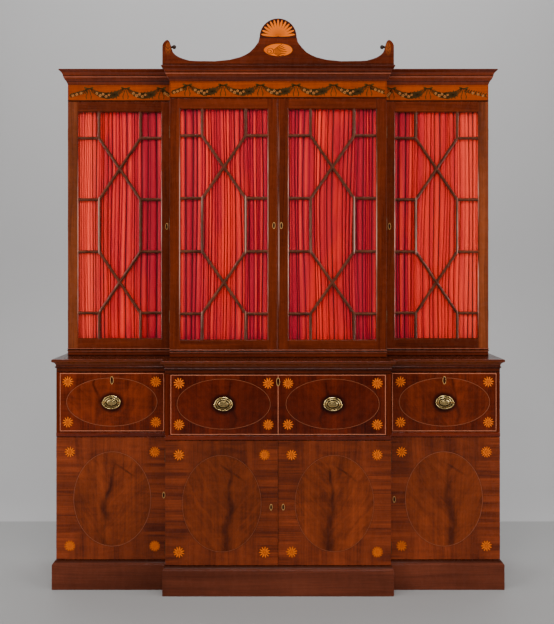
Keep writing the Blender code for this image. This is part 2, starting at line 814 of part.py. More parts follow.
def build_secretary():
    """Centre drawer: its front falls to a writing slope, with pigeonholes behind."""
    half = base.centre_half - divider_board - slide_gap
    fall_back_y = base.centre_front + fall_board
    foot = rail_head_z + seat_gap
    axis_z = foot + secretary_floor
    head = drawer_head_z - secretary_side_drop
    box_y = (fall_back_y + seat_gap, fall_back_y + seat_gap + secretary_box_length)
    inner_half = half - secretary_wall
    knee_y = fall_back_y + (axis_z - drawer_foot_z) + knee_gap
    box = block((-half, half), box_y, (foot, head))
    well = block((-inner_half, inner_half), (box_y[0] - overrun, box_y[1] - drawer_wall),
                 (axis_z, head + overrun))
    knee = block((-half - overrun, half + overrun), (box_y[0] - overrun, knee_y),
                 (foot - overrun, axis_z))
    carrier = add_piece("secretary_box", worked(box, cut=[well, knee]), "carcass",
                        (0, base.centre_front, foot))
    axis = (0, fall_back_y, axis_z)
    front = block((-half, half), (base.centre_front, fall_back_y), (drawer_foot_z, drawer_head_z))
    stays = []
    for _, sign in sides:
        outer = sign * (inner_half - quadrant_clear)
        stays.append(quadrant(fall_back_y, axis_z, (outer, outer - sign * quadrant_plate)))
    fall = add_piece("fall", worked(front, [together(stays)]), "mahogany", axis, carrier)
    fit_y = (fall_back_y + writing_depth, box_y[1] - drawer_wall - seat_gap)
    fit_z = (axis_z + seat_gap, drawer_head_z - fitting_headroom)
    build_fittings(carrier, inner_half - seat_gap, fit_y, fit_z)
    return fall


def quadrant(axis_y, axis_z, x_span):
    """Quarter-round stay on the fall, centred on its hinge."""
    outer = []
    inner = []
    hollow_radius = quadrant_radius - quadrant_width
    lowest = quadrant_width / quadrant_radius
    highest = math.pi / 2 + quadrant_plate / quadrant_radius
    for index in range(arc_steps + 1):
        turn = lowest + (highest - lowest) * index / arc_steps
        outer.append((axis_y + quadrant_radius * math.cos(turn),
                      axis_z + quadrant_radius * math.sin(turn)))
        inner.append((axis_y + hollow_radius * math.cos(turn),
                      axis_z + hollow_radius * math.sin(turn)))
    return extruded(outer + inner[::-1], x_span, "x")


def build_fittings(carrier, half, y_span, z_span):
    """Pigeonholes with two small drawers under each side bay."""
    main_x = half - side_bay_width
    hole_y = (y_span[0] - overrun, y_span[1] - fitting_back)
    cells = []
    drawers = []
    cell_height = small_drawer_height + small_drawer_gap + seat_gap
    for side, sign in sides:
        bay = sorted((sign * (half - fitting_wall), sign * (main_x + fitting_part / 2)))
        z = z_span[0] + fitting_part
        for row in range(small_drawer_rows):
            cells.append((bay, (z, z + cell_height)))
            drawers.append((f"small_drawer_{side}_{row + 1}", bay, z + seat_gap))
            z += cell_height + fitting_part
        cells += [(hole, (z, z_span[1] - fitting_wall)) for hole in divided(bay, side_holes)]
    middle = (-main_x + fitting_part / 2, main_x - fitting_part / 2)
    tall = (z_span[0] + fitting_part, z_span[1] - fitting_wall)
    cells += [(hole, tall) for hole in divided(middle, centre_holes)]
    cutters = together([block(x_span, hole_y, z_cell) for x_span, z_cell in cells])
    unit = add_piece("pigeonholes",
                     worked(block((-half, half), y_span, z_span), cut=[cutters]), "satinwood",
                     (0, y_span[0], z_span[0]), carrier)
    for name, bay, foot in drawers:
        build_small_drawer(name, bay, foot, (y_span[0], hole_y[1] - seat_gap), unit)


def divided(span, count):
    """A span split into equal cells with a thin partition between them."""
    width = (span[1] - span[0] - (count - 1) * fitting_part) / count
    return [(span[0] + index * (width + fitting_part),
             span[0] + index * (width + fitting_part) + width) for index in range(count)]


def build_small_drawer(name, bay, foot, y_span, unit):
    x_span = (bay[0] + small_drawer_gap, bay[1] - small_drawer_gap)
    z_span = (foot, foot + small_drawer_height)
    well = block((x_span[0] + small_drawer_wall, x_span[1] - small_drawer_wall),
                 (y_span[0] + small_drawer_front, y_span[1] - small_drawer_wall),
                 (foot + small_drawer_floor, z_span[1] + overrun))
    knob_x = (x_span[0] + x_span[1]) / 2
    knob_z = foot + small_drawer_height / 2
    tip_y = y_span[0] - small_knob_reach
    knob = turned([(small_knob_radius / 2, y_span[0] + small_drawer_floor),
                   (small_knob_radius / 2, y_span[0] - small_knob_reach / 3),
                   (small_knob_radius, y_span[0] - small_knob_reach / 2),
                   (small_knob_radius, y_span[0] - small_knob_reach * 3 / 4),
                   (small_knob_radius / 2, tip_y)], knob_x, knob_z)
    add_piece(name, worked(block(x_span, y_span, z_span), [knob], [well]), "satinwood",
              (knob_x, y_span[0], foot), unit)


plate_dome_shares = ((1, 0), (1, 0.45), (0.94, 0.75), (0.86, 1))


def turned(profile, x, z, sides_drawn=small_sides):
    """A round form about an axis that runs front to back, from (radius, y) pairs."""
    rings = []
    for radius, y in profile:
        turns = [2 * math.pi * index / sides_drawn for index in range(sides_drawn)]
        rings.append([(x + radius * math.cos(turn), y, z + radius * math.sin(turn)) for turn in turns])
    return lofted(rings)


def oval_plate(x, front_y, z):
    """Domed back plate: the same oval, smaller towards the front."""
    rings = []
    for width_share, depth_share in plate_dome_shares:
        y = front_y - seat_gap - (plate_thickness - seat_gap) * depth_share
        ring = []
        for index in range(fine_sides):
            turn = 2 * math.pi * index / fine_sides
            ring.append((x + plate_width / 2 * width_share * math.cos(turn), y,
                         z + plate_height / 2 * width_share * math.sin(turn)))
        rings.append(ring)
    return lofted(rings)


def bail_ring(centre, outward):
    """One ring of the bail's round bar, square to its path."""
    ring = []
    for index in range(rod_sides):
        turn = 2 * math.pi * index / rod_sides
        ring.append(centre + bail_radius * (math.cos(turn) * outward
                                            + math.sin(turn) * Vector((0, 1, 0))))
    return ring


def bail_shape(x, y, z):
    """Half-oval bar that hangs from an eye beside each post."""
    reach = post_spacing / 2 + post_collar_radius + eye_gap + eye_length / 2
    rings = []
    for index in range(bail_steps + 1):
        turn = math.pi + math.pi * index / bail_steps
        centre = Vector((x + reach * math.cos(turn), y, z + bail_drop * math.sin(turn)))
        outward = Vector((bail_drop * math.cos(turn), 0, reach * math.sin(turn))).normalized()
        rings.append(bail_ring(centre, outward))
    bar = lofted(rings)
    eyes = together([rod(eye_radius, (x + sign * (reach - eye_length / 2),
                                      x + sign * (reach + eye_length / 2)), "x", (y, z))
                     for _, sign in sides])
    return worked(bar, joined=[eyes])


def build_handle(name, x, front_y, z, carrier):
    """Oval plate with two posts, and the bail that hangs between them."""
    face = front_y - plate_thickness
    tip = face - post_length
    pivot_y = face - bail_stand
    posts = []
    for _, sign in sides:
        posts.append(turned([(post_radius, front_y - plate_thickness / 2),
                             (post_radius, pivot_y + eye_radius + post_flare),
                             (post_collar_radius, pivot_y + eye_radius),
                             (post_collar_radius, pivot_y - post_collar_lead),
                             (post_tip_radius, pivot_y - eye_radius),
                             (post_tip_radius, tip + post_flare),
                             (post_tip_radius / 2, tip)], x + sign * post_spacing / 2, z))
    plate = worked(oval_plate(x, front_y, z), joined=[together(posts)])
    holder = add_piece(f"handle_plate_{name}", plate, "brass", (x, front_y, z), carrier, True)
    add_piece(f"bail_{name}", bail_shape(x, pivot_y, z), "brass", (x, pivot_y, z), holder, True)


def build_handles(fall):
    middle = (drawer_foot_z + drawer_head_z) / 2
    for side, sign in sides:
        drawer = bpy.data.objects[f"drawer_{side}"]
        build_handle(f"wing_{side}", sign * wing_handle_x, base.wing_front,
                     middle - wing_handle_drop, drawer)
        build_handle(f"centre_{side}", sign * centre_handle_x, base.centre_front,
                     middle + centre_handle_rise, fall)


def clear_scene():
    for piece in list(bpy.data.objects):
        bpy.data.objects.remove(piece)


def build_bookcase():
    clear_scene()
    build_plinth()
    build_base_boards()
    build_dustboards()
    build_base_top()
    build_upper_boards()
    build_crown()
    build_cupboard_doors()
    build_glazed_doors()
    build_drawers()
    fall = build_secretary()
    build_handles(fall)


build_bookcase()
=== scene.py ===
"""Looks of the breakfront secretary bookcase: polished mahogany, inlay, brass, glass and silk."""

import json
import random
from math import atan2, cos, exp, hypot, pi, radians, sin, sqrt

import bmesh
import bpy
from mathutils import Matrix, Vector


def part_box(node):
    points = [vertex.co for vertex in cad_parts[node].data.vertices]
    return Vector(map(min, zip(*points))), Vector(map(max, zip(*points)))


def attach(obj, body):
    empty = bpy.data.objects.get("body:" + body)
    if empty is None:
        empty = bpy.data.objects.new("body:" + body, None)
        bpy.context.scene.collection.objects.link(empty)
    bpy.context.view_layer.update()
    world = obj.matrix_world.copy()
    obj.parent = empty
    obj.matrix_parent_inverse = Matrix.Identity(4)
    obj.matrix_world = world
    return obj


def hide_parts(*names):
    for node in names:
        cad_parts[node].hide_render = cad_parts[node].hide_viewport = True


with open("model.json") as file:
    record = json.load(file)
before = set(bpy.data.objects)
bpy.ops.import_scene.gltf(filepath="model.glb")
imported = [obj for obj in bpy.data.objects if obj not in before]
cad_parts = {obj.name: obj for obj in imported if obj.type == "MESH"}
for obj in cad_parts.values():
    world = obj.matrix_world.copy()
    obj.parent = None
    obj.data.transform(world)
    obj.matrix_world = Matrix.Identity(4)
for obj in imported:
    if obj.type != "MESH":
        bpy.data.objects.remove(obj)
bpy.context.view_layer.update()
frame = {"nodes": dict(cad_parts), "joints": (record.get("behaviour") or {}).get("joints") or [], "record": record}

nodes = frame["nodes"]
body_of_node = {node: body for body, members in frame["record"]["behaviour"]["bodies"].items()
                for node in members}

SIDES = (("left", -1), ("right", 1))
DOOR_PLACES = ("wing_left", "centre_left", "centre_right", "wing_right")
FULL_TURN = 2 * pi
TURNS = {"z": (0, 0, 0), "x": (0, pi / 2, 0)}
FACING = Matrix.Rotation(pi / 2, 4, "X")

# Linear colours: the light and the dark of each wood, then the painted highlights and painted shade of the
# mouldings and edges
MAHOGANY = ((0.255, 0.0390, 0.0060), (0.070, 0.0095, 0.0025))
FRAME = ((0.175, 0.0245, 0.0050), (0.048, 0.0064, 0.0020))
DRAWER = ((0.190, 0.0210, 0.0030), (0.040, 0.0042, 0.0012))
DRAWER_FIGURE = ((0.245, 0.0300, 0.0045), DRAWER[1])
DOOR_GROUND = ((0.236, 0.0390, 0.0095), (0.078, 0.0120, 0.0042))
DOOR_FIGURE = ((0.262, 0.0440, 0.0085), (0.072, 0.0108, 0.0035))
FALL = ((0.165, 0.0160, 0.0024), (0.038, 0.0036, 0.0010))
PLINTH = ((0.172, 0.0400, 0.0185), (0.060, 0.0140, 0.0075))
# The base top's tones are darker than the other mahogany: painted shade over the whole board.
PAINTED_SHADE_TOP = ((0.100, 0.0150, 0.0035), (0.030, 0.0045, 0.0015))
BAR = ((0.160, 0.0460, 0.0230), (0.050, 0.0120, 0.0060))
# Lighter tones on the outer edge of the outer stiles: a painted highlight.
PAINTED_LIT_STILE = ((0.330, 0.0740, 0.0220), (0.105, 0.0220, 0.0080))
SATINWOOD = ((0.430, 0.0640, 0.0030), (0.190, 0.0240, 0.0010))
BOXWOOD = ((0.560, 0.330, 0.130), (0.300, 0.150, 0.050))
OAK = ((0.270, 0.150, 0.070), (0.100, 0.050, 0.022))
EBONY = ((0.035, 0.012, 0.006), (0.015, 0.005, 0.003))
# A painted highlight on the fillets of the cornice and of the upper case's foot.
PAINTED_FILLET_HIGHLIGHT = (0.400, 0.120, 0.065)
# A painted highlight along the meeting edge, the sight edges and the middle glazing bars.
PAINTED_EDGE_HIGHLIGHT = (0.58, 0.300, 0.230)
# A painted highlight on the top edge of the base top's nosing.
PAINTED_NOSING_HIGHLIGHT = (0.190, 0.0480, 0.0240)
# Painted shade in the quirks, grooves and joints of the mouldings.
PAINTED_GROOVE_SHADE = (0.012, 0.0025, 0.0010)


def sign_for(operation):
    """An arithmetic sign between signals: it adds a Math node for this operation."""
    return lambda first, *others: first.wiring.maths(operation, first, *others)


class Signal:
    """What a node puts out: arithmetic on it adds Math nodes."""

    __add__ = sign_for("ADD")
    __sub__ = sign_for("SUBTRACT")
    __mul__ = sign_for("MULTIPLY")
    __truediv__ = sign_for("DIVIDE")
    __pow__ = sign_for("POWER")
    __abs__ = sign_for("ABSOLUTE")

    def __init__(self, wiring, node, output=0):
        self.wiring = wiring
        self.node = node
        self.output = output

    def __rsub__(self, other):
        return self.wiring.maths("SUBTRACT", other, self)

    def clamped(self):
        self.node.use_clamp = True
        return self

    def ramp(self, low, high, start=0.0, end=1.0):
        """A smooth step from start to end between two levels."""
        return self.wiring.take(0, "MapRange", {"interpolation_type": "SMOOTHSTEP"}, _0=self,
                                _1=low, _2=high, _3=start, _4=end)


class Wiring:
    """A short way to write shader nodes: each call adds a node and joins its inputs."""

    def __init__(self, tree):
        self.tree = tree

    def join(self, socket, value):
        if isinstance(value, Signal):
            self.tree.links.new(value.node.outputs[value.output], socket)
        elif socket.type == "RGBA":
            socket.default_value = (*value, 1)
        else:
            socket.default_value = value

    def fill(self, sockets, **values):
        """Joins or sets sockets by name, with _ for a space, or by number, as in _3."""
        for name, value in values.items():
            self.join(sockets[int(name[1:]) if name[0] == "_" else name.replace("_", " ")], value)

    def add(self, kind, settings=None, **inputs):
        made = self.tree.nodes.new("ShaderNode" + kind)
        for name, value in (settings or {}).items():
            setattr(made, name, value)
        self.fill(made.inputs, **inputs)
        return made

    def take(self, output, kind, settings=None, **inputs):
        """Adds a node and gives one of its outputs."""
        return Signal(self, self.add(kind, settings, **inputs), output)

    def use(self, tree, **inputs):
        """Places a shared group with its own values and gives its outputs."""
        made = self.add("Group", {"node_tree": tree}, **inputs)
        return {socket.name: Signal(self, made, socket.name) for socket in made.outputs}

    def maths(self, operation, *values):
        return self.take(0, "Math", {"operation": operation},
                         **{f"_{index}": value for index, value in enumerate(values)})

    def vectors(self, operation, first, second):
        return self.take(0, "VectorMath", {"operation": operation}, _0=first, _1=second)

    def combine(self, x=0.0, y=0.0, z=0.0):
        return self.take(0, "CombineXYZ", X=x, Y=y, Z=z)

    def split(self, vector):
        made = self.add("SeparateXYZ", Vector=vector)
        return [Signal(self, made, axis) for axis in "XYZ"]

    def mix(self, amount, first, second, blend="MIX"):
        return self.take(2, "Mix", {"data_type": "RGBA", "blend_type": blend}, _0=amount,
                         _6=first, _7=second)

    def mix_vectors(self, amount, first, second):
        return self.take(1, "Mix", {"data_type": "VECTOR"}, _0=amount, _4=first, _5=second)

    def stretched(self, vector, scale, turn=(0, 0, 0)):
        return self.take(0, "Mapping", Vector=vector, Rotation=turn, Scale=scale)

    def noise(self, vector, scale, detail=3.0, rough=0.55, distort=0.0):
        """Noise with one scale, or with a scale for each axis."""
        if isinstance(scale, tuple):
            vector = self.stretched(vector, scale)
            scale = 1.0
        return self.take("Fac", "TexNoise", Vector=vector, Scale=scale, Detail=detail,
                         Roughness=rough, Distortion=distort)

    def finish(self, shader, colour, rough, height, distance, strength, **constants):
        """Joins what changes over a surface, and sets the shader's constants on its own sockets."""
        self.fill(shader.inputs, Base_Color=colour, Roughness=rough, **constants)
        bump = self.take(0, "Bump", Height=height, Distance=distance, Strength=strength)
        self.fill(shader.inputs, Normal=bump)


def new_group(name, inputs, outputs):
    """A node group with named sockets: its wiring, what it is given, and where its results go."""
    tree = bpy.data.node_groups.new(name, "ShaderNodeTree")
    for sockets, way in ((inputs, "INPUT"), (outputs, "OUTPUT")):
        for label, kind in sockets.items():
            tree.interface.new_socket(label, in_out=way, socket_type="NodeSocket" + kind)
    w = Wiring(tree)
    given = tree.nodes.new("NodeGroupInput")
    result = tree.nodes.new("NodeGroupOutput")
    return w, {label: Signal(w, given, label) for label in inputs}, result.inputs


def grain_group():
    """Polished wood whose grain runs along Z of the coordinates it is given."""
    w, given, result = new_group(
        "polished grain", {"Coordinates": "Vector", "Light": "Color", "Dark": "Color",
                           "Streak": "Float", "Mottle": "Float", "Seed": "Float"},
        {"Color": "Color", "Roughness": "Float", "Height": "Float"})
    seed = given["Seed"]
    place = w.vectors("ADD", given["Coordinates"], w.combine(seed, seed, seed))
    bent = w.noise(place, (3, 3, 1.2), 2.0)
    waved = w.vectors("ADD", place, w.combine(bent * 0.05))
    broad = w.noise(waved, (16, 16, 0.9), 4.0, 0.6, 0.4)
    fine = w.noise(waved, (150, 150, 3.2), 5.0, 0.65, 0.2)
    fibre = w.noise(waved, (900, 900, 16), 3.0, 0.6)
    mottle = w.noise(waved, (9, 9, 34), 3.0, 0.55, 0.8)
    pores = w.noise(waved, (1500, 1500, 60), 2.0).ramp(0.60, 0.72)
    streak = broad.ramp(0.30, 0.70) * 0.55 + fine.ramp(0.25, 0.75) * 0.45
    streak = (streak - 0.5) * given["Streak"] + 0.5
    ripple = (mottle - 0.5) * given["Mottle"]
    share = (streak + ripple + (fibre - 0.5) * 0.22).clamped()
    colour = w.mix(share, given["Dark"], given["Light"])
    w.fill(result, Color=w.mix(pores * 0.45, colour, given["Dark"]), Roughness=fibre * 0.12 + 0.20,
           Height=fibre * 0.4 - pores)
    return w.tree


def age_group():
    """Wax, dust and handling: darkens in soft clouds and dulls the polish."""
    w, given, result = new_group(
        "age and wax", {"Coordinates": "Vector", "Color": "Color", "Roughness": "Float",
                        "Amount": "Float"}, {"Color": "Color", "Roughness": "Float"})
    cloud = w.noise(given["Coordinates"], (2.2, 2.2, 1.6), 4.0, 0.6)
    smear = w.noise(given["Coordinates"], (40, 40, 28), 3.0, 0.6)
    shade = (cloud.ramp(0.25, 0.75, 0.72, 1.16) - 1.0) * given["Amount"] + 1.0
    colour = w.mix(1.0, given["Color"], w.combine(shade, shade, shade), "MULTIPLY")
    dull = smear.ramp(0.45, 0.8) * (given["Amount"] * 0.14)
    w.fill(result, Color=colour, Roughness=given["Roughness"] + dull)
    return w.tree


def oval_group():
    """How far a point is from the middle of an oval, 1 on its line, in the front plane."""
    w, given, result = new_group(
        "oval", {"Coordinates": "Vector", "Centre": "Vector", "Half width": "Float",
                 "Half height": "Float"}, {"Distance": "Float"})
    across, _, up = w.split(w.vectors("SUBTRACT", given["Coordinates"], given["Centre"]))
    squared = abs(across / given["Half width"]) ** 2.0 + abs(up / given["Half height"]) ** 2.0
    w.fill(result, Distance=w.maths("SQRT", squared))
    return w.tree


def flame_group():
    """Crotch veneer: a dark heart that wanders and widens downwards, a short branch, and feathers."""
    w, given, result = new_group(
        "flame figure", {"Coordinates": "Vector", "Centre": "Vector", "Bend": "Float",
                         "Heart": "Float", "Seed": "Float"}, {"Dark": "Float", "Curl": "Float"})
    seed = given["Seed"]
    away = w.vectors("SUBTRACT", given["Coordinates"], given["Centre"])
    shift = w.combine(seed, seed, seed)
    noisy = w.vectors("ADD", away, shift)
    across, _, up = w.split(away)
    wander = w.noise(noisy, (3, 3, 7), 1.5) - 0.5
    path = w.maths("SINE", up * 11.0 + seed) * 0.016 + (given["Bend"] + wander * 0.11)
    off = abs(across - path)
    width = up.ramp(-0.22, 0.20, 1.0, 0.22) * given["Heart"]
    heart = (off / width).ramp(0.0, 2.4, 1.0, 0.0) ** 1.6 * up.ramp(0.13, 0.21, 1.0, 0.0)
    fall = 0.168 - across * 0.62 + wander * 0.05
    branch = abs(up - fall).ramp(0.001, 0.009, 1.0, 0.0)
    branch = branch * across.ramp(-0.01, 0.015) * across.ramp(0.07, 0.125, 1.0, 0.0)
    broken = w.noise(noisy, (26, 26, 9)).ramp(0.25, 0.65, 0.25, 1.0)
    plume = w.vectors("ADD", w.combine(off * 7.0, 0.0, (up - off * 1.4) * 30.0), shift)
    w.fill(result, Dark=w.maths("MAXIMUM", heart, branch * 0.8) * broken,
           Curl=w.noise(plume, 1.0, 4.0, 0.62, 0.7) - 0.5)
    return w.tree


GRAIN = grain_group()
AGE = age_group()
OVAL = oval_group()
FLAME = flame_group()


def new_material(name):
    """A material with an empty Principled shader: also its wiring and the place of a point."""
    material = bpy.data.materials.new(name)
    material.use_nodes = True
    material.node_tree.nodes.clear()
    w = Wiring(material.node_tree)
    shader = w.add("BsdfPrincipled")
    w.add("OutputMaterial", Surface=Signal(w, shader))
    return material, w, shader, w.take("Object", "TexCoord")


def grained(w, place, tones, streak, mottle, seed):
    return w.use(GRAIN, Coordinates=place, Light=tones[0], Dark=tones[1], Streak=streak,
                 Mottle=mottle, Seed=seed)


def polish(w, shader, colour, grain, place, wax, age):
    """Finishes a wood: patina over the grain, a polished coat and fine open pores."""
    aged = w.use(AGE, Coordinates=place, Color=colour, Roughness=grain["Roughness"], Amount=age)
    w.finish(shader, aged["Color"], aged["Roughness"], grain["Height"], 0.00025, 0.35,
             Coat_Weight=wax, Coat_Roughness=0.10, Coat_IOR=1.35,
             Specular_IOR_Level=min(0.10, 0.02 + 0.3 * wax))


def board_wood(name, along, tones, mottle, streak, seed, wax=0.5, age=1.0, lines=()):
    """A board with its grain along one axis, and lines of painted shade and painted highlight along its mouldings.
    """
    material, w, shader, place = new_material(name)
    grain = grained(w, w.stretched(place, (1, 1, 1), TURNS[along]), tones, streak, mottle, seed)
    colour = grain["Color"]
    height = w.split(place)[2]
    for middle, half, tone in lines:
        colour = w.mix(abs(height - middle).ramp(half * 0.5, half * 1.3, 0.9, 0.0), colour, tone)
    polish(w, shader, colour, grain, place, wax, age)
    return material


STILE_WIDTH = 0.0510
BOTTOM_RAIL = 0.0475
STILE_EDGES = (0.0, 0.5143, 1.014)
# The x of each thin painted highlight line on the glazed doors: sight edges and middle glazing bars.
PAINTED_HIGHLIGHT_X = (0.0480, 0.1538, 0.3603, 0.4662, 0.5628, 0.6648, 0.8642, 0.9660)
MEETING_X = 0.0036
DOOR_MIDDLE_Z = 1.68


def framed_wood(name, tones, seed):
    """The glazed doors: upright grain in the stiles, level in the rails, greyer glazing bars, a painted highlight
    on the outer stiles and thin painted highlight lines along edges and bars.
    """
    material, w, shader, place = new_material(name)
    low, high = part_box("glazed_door_centre_left")
    x, _, z = w.split(place)
    across = abs(x)
    stile = 0.0
    for edge in STILE_EDGES:
        stile = w.maths("MAXIMUM", stile, w.maths("LESS_THAN", abs(across - edge), STILE_WIDTH))
    beyond = w.maths("MAXIMUM", w.maths("GREATER_THAN", z, high[2] - STILE_WIDTH),
                     w.maths("LESS_THAN", z, low[2] + BOTTOM_RAIL))
    between = 1.0 - stile
    rail = beyond * between
    bars = (1.0 - beyond) * between
    # A painted highlight: lighter tones over the outer edge of the outer stiles.
    lit_outer_stile = across.ramp(0.958, 0.985, 0.0, 0.75)
    tones = [w.mix(lit_outer_stile, w.mix(bars, tone, bar), pale)
             for tone, bar, pale in zip(tones, BAR, PAINTED_LIT_STILE)]
    laid = w.mix_vectors(rail, place, w.stretched(place, (1, 1, 1), TURNS["x"]))
    grain = grained(w, laid, tones, 1.0, 0.35, rail * 5.0 + seed)
    # Thin painted highlight lines along the meeting edge, the sight edges and the middle glazing bars, broken by
    # noise and fading towards the top and bottom of the doors.
    line = abs(x - MEETING_X).ramp(0.0010, 0.0026, 1.0, 0.0)
    for edge in PAINTED_HIGHLIGHT_X:
        line = w.maths("MAXIMUM", line, abs(across - edge).ramp(0.0014, 0.0026, 1.0, 0.0))
    highlight_breaks = w.noise(place, (9, 9, 2.2)).ramp(0.40, 0.62)
    reach = abs(z - DOOR_MIDDLE_Z).ramp(0.30, 0.52, 0.9, 0.0)
    polish(w, shader, w.mix(line * highlight_breaks * reach, grain["Color"], PAINTED_EDGE_HIGHLIGHT), grain, place, 0.4,
           0.8)
    return material


def shaded(colour, share):
    return tuple(share * value for value in colour)


def veneered(name, centre, halves, outside, inside, seed, bend, heart=0.022, figure=1.0,
             sides=1.0, paired=False, handle=None):
    """A veneered front: streaked ground that turns level beside the oval, flame figure in it, and painted shadow
    with handling dirt round the handle.
    """
    material, w, shader, place = new_material(name)
    spot = place
    if paired:
        x, y, z = w.split(place)
        spot = w.combine(abs(x), y, z)
    middle = (centre[0], 0, centre[1])
    ground = grained(w, spot, outside, 1.0, 0.9, seed)
    level = grained(w, w.stretched(spot, (1, 1, 1.9), TURNS["x"]), outside, 1.5, 0.3, seed + 4.4)
    across, _, up = w.split(w.vectors("SUBTRACT", spot, middle))
    beside = (abs(across) / halves[0] - abs(up) / halves[1] * 0.55).ramp(0.25, 0.65)
    outer = w.mix(beside * sides, ground["Color"], level["Color"])
    flame = w.use(FLAME, Coordinates=spot, Centre=middle, Bend=bend, Heart=heart, Seed=seed + 2.7)
    core = grained(w, spot, inside, 0.7, 0.8, seed + 9.1)
    curl = flame["Curl"] * (2.0 * figure)
    figured = core["Color"]
    for lift, tone in ((curl, inside[0]), (curl * -1.0, inside[1])):
        figured = w.mix((w.maths("MAXIMUM", lift, 0.0) * 0.9).clamped(), figured, tone)
    figured = w.mix(flame["Dark"] * (0.85 * min(figure, 1.0)), figured, shaded(inside[1], 0.45))
    if handle:
        # Darker round the handle's plate: painted shadow, and dirt from handling.
        plate = w.use(OVAL, Coordinates=spot, Centre=(handle[0], 0, handle[1]), Half_width=0.046,
                      Half_height=0.038)["Distance"]
        figured = w.mix(plate.ramp(0.95, 1.45, 0.85, 0.0), figured, shaded(inside[1], 0.25))
    oval = w.use(OVAL, Coordinates=spot, Centre=middle, Half_width=halves[0],
                 Half_height=halves[1])["Distance"]
    colour = w.mix(oval.ramp(0.992, 1.0, 1.0, 0.0), outer, figured)
    colour = w.mix(abs(oval - 1.0).ramp(0.0, 0.035, 0.35, 0.0), colour, shaded(inside[1], 0.6))
    polish(w, shader, colour, ground, place, 0.25, 1.2)
    return material


# Each painted line along a moulding, painted shade in its hollows and painted highlight on its fillets: its
# height, its half width and its colour
# Painted shade along the top of the plinth, under the doors.
PLINTH_LINES = ((0.1300, 0.0060, (0.040, 0.0090, 0.0040)),)
# Painted shade along the lower edge of the frieze.
FRIEZE_LINES = ((2.2940, 0.0052, (0.022, 0.0045, 0.0015)),)
CORNICE_LINES = ((2.3864, 0.0016, PAINTED_GROOVE_SHADE), (2.4065, 0.0016, PAINTED_FILLET_HIGHLIGHT), (2.4130, 0.0013, PAINTED_GROOVE_SHADE),
                 (2.4410, 0.0014, PAINTED_GROOVE_SHADE), (2.4470, 0.0016, PAINTED_GROOVE_SHADE))
FOOT_LINES = ((1.1012, 0.0011, PAINTED_FILLET_HIGHLIGHT), (1.0950, 0.0022, PAINTED_GROOVE_SHADE), (1.0885, 0.0014, PAINTED_FILLET_HIGHLIGHT),
              (1.0835, 0.0018, PAINTED_GROOVE_SHADE), (1.0680, 0.0018, PAINTED_GROOVE_SHADE))
# The base top: a painted highlight on the nosing, a lighter band painted over the cove to lift its shade, and
# painted shade in two grooves below.
TOP_LINES = ((1.0648, 0.0010, PAINTED_NOSING_HIGHLIGHT), (1.0490, 0.0090, (0.150, 0.030, 0.0080)),
             (1.0262, 0.0024, PAINTED_GROOVE_SHADE), (1.0075, 0.0020, PAINTED_GROOVE_SHADE))

# Each board: its name, the way of its grain, tones, mottle, streak, seed, wax, age and painted lines of shade and
# highlight
WOOD = {
    "plinth": board_wood("plinth mahogany", "x", PLINTH, 0.25, 0.8, 1.3, 0.1, 1.0, PLINTH_LINES),
    "end": board_wood("end board mahogany", "z", DRAWER, 0.25, 1.0, 4.1, 0.05),
    "upper end": board_wood("upper end mahogany", "z", FRAME, 0.25, 1.0, 7.7, 0.05),
    "rail": board_wood("rail mahogany", "x", DRAWER, 0.3, 1.0, 2.2, 0.7),
    # The base top: darker tones as painted shade.
    "top": board_wood("top mahogany in painted shade", "x", PAINTED_SHADE_TOP, 0.3, 1.0, 3.4, 0.3, 1.0, TOP_LINES),
    "foot": board_wood("foot mahogany", "x", FRAME, 0.3, 1.0, 6.4, 0.6, 1.0, FOOT_LINES),
    "cornice": board_wood("cornice mahogany", "x", FRAME, 0.3, 1.0, 5.9, 0.6, 1.0, CORNICE_LINES),
    "door frame": framed_wood("glazed door mahogany", FRAME, 1.9),
    "frieze": board_wood("frieze satinwood", "x", SATINWOOD, 0.5, 0.7, 2.0, 0.15, 0.6,
                         FRIEZE_LINES),
    "fitting": board_wood("fitting satinwood", "x", BOXWOOD, 0.5, 0.7, 4.0, 0.4, 0.6),
    "lining": board_wood("drawer oak", "x", OAK, 0.2, 0.9, 3.0, 0.1, 0.5),
    "back": board_wood("back board pine", "z", OAK, 0.3, 1.0, 6.0, 0.0),
    "shelf": board_wood("shelf mahogany", "x", MAHOGANY, 0.2, 0.9, 8.0, 0.3),
    "knob": board_wood("ebonised knob", "x", EBONY, 0.3, 1.0, 1.1),
}


def brass_material(name, colour, tarnish, rough):
    """Lacquered brass: bright where it is rubbed, browner in clouds."""
    material, w, shader, place = new_material(name)
    cloud = w.noise(place, 130.0, 4.0, 0.6).ramp(0.35, 0.68)
    w.finish(shader, w.mix(cloud, colour, tarnish), cloud * 0.22 + rough,
             w.noise(place, 900.0, 2.0), 0.0001, 0.3, Metallic=1.0)
    return material


def leather_material(name):
    """Worn green calf: fine pebbled grain, paler where arms have rubbed it."""
    material, w, shader, place = new_material(name)
    pebble = w.take("Distance", "TexVoronoi", {"feature": "DISTANCE_TO_EDGE"}, Vector=place,
                    Scale=700.0)
    rub = w.noise(place, (6, 6, 9), 4.0)
    colour = w.mix(rub.ramp(0.40, 0.68), (0.022, 0.040, 0.016), (0.075, 0.085, 0.030))
    colour = w.mix(pebble.ramp(0.0, 0.12, 0.45, 0.0), colour, (0.010, 0.016, 0.007))
    w.finish(shader, colour, rub * 0.2 + 0.38, pebble.ramp(0.0, 0.2), 0.0002, 0.5,
             Specular_IOR_Level=0.35)
    return material


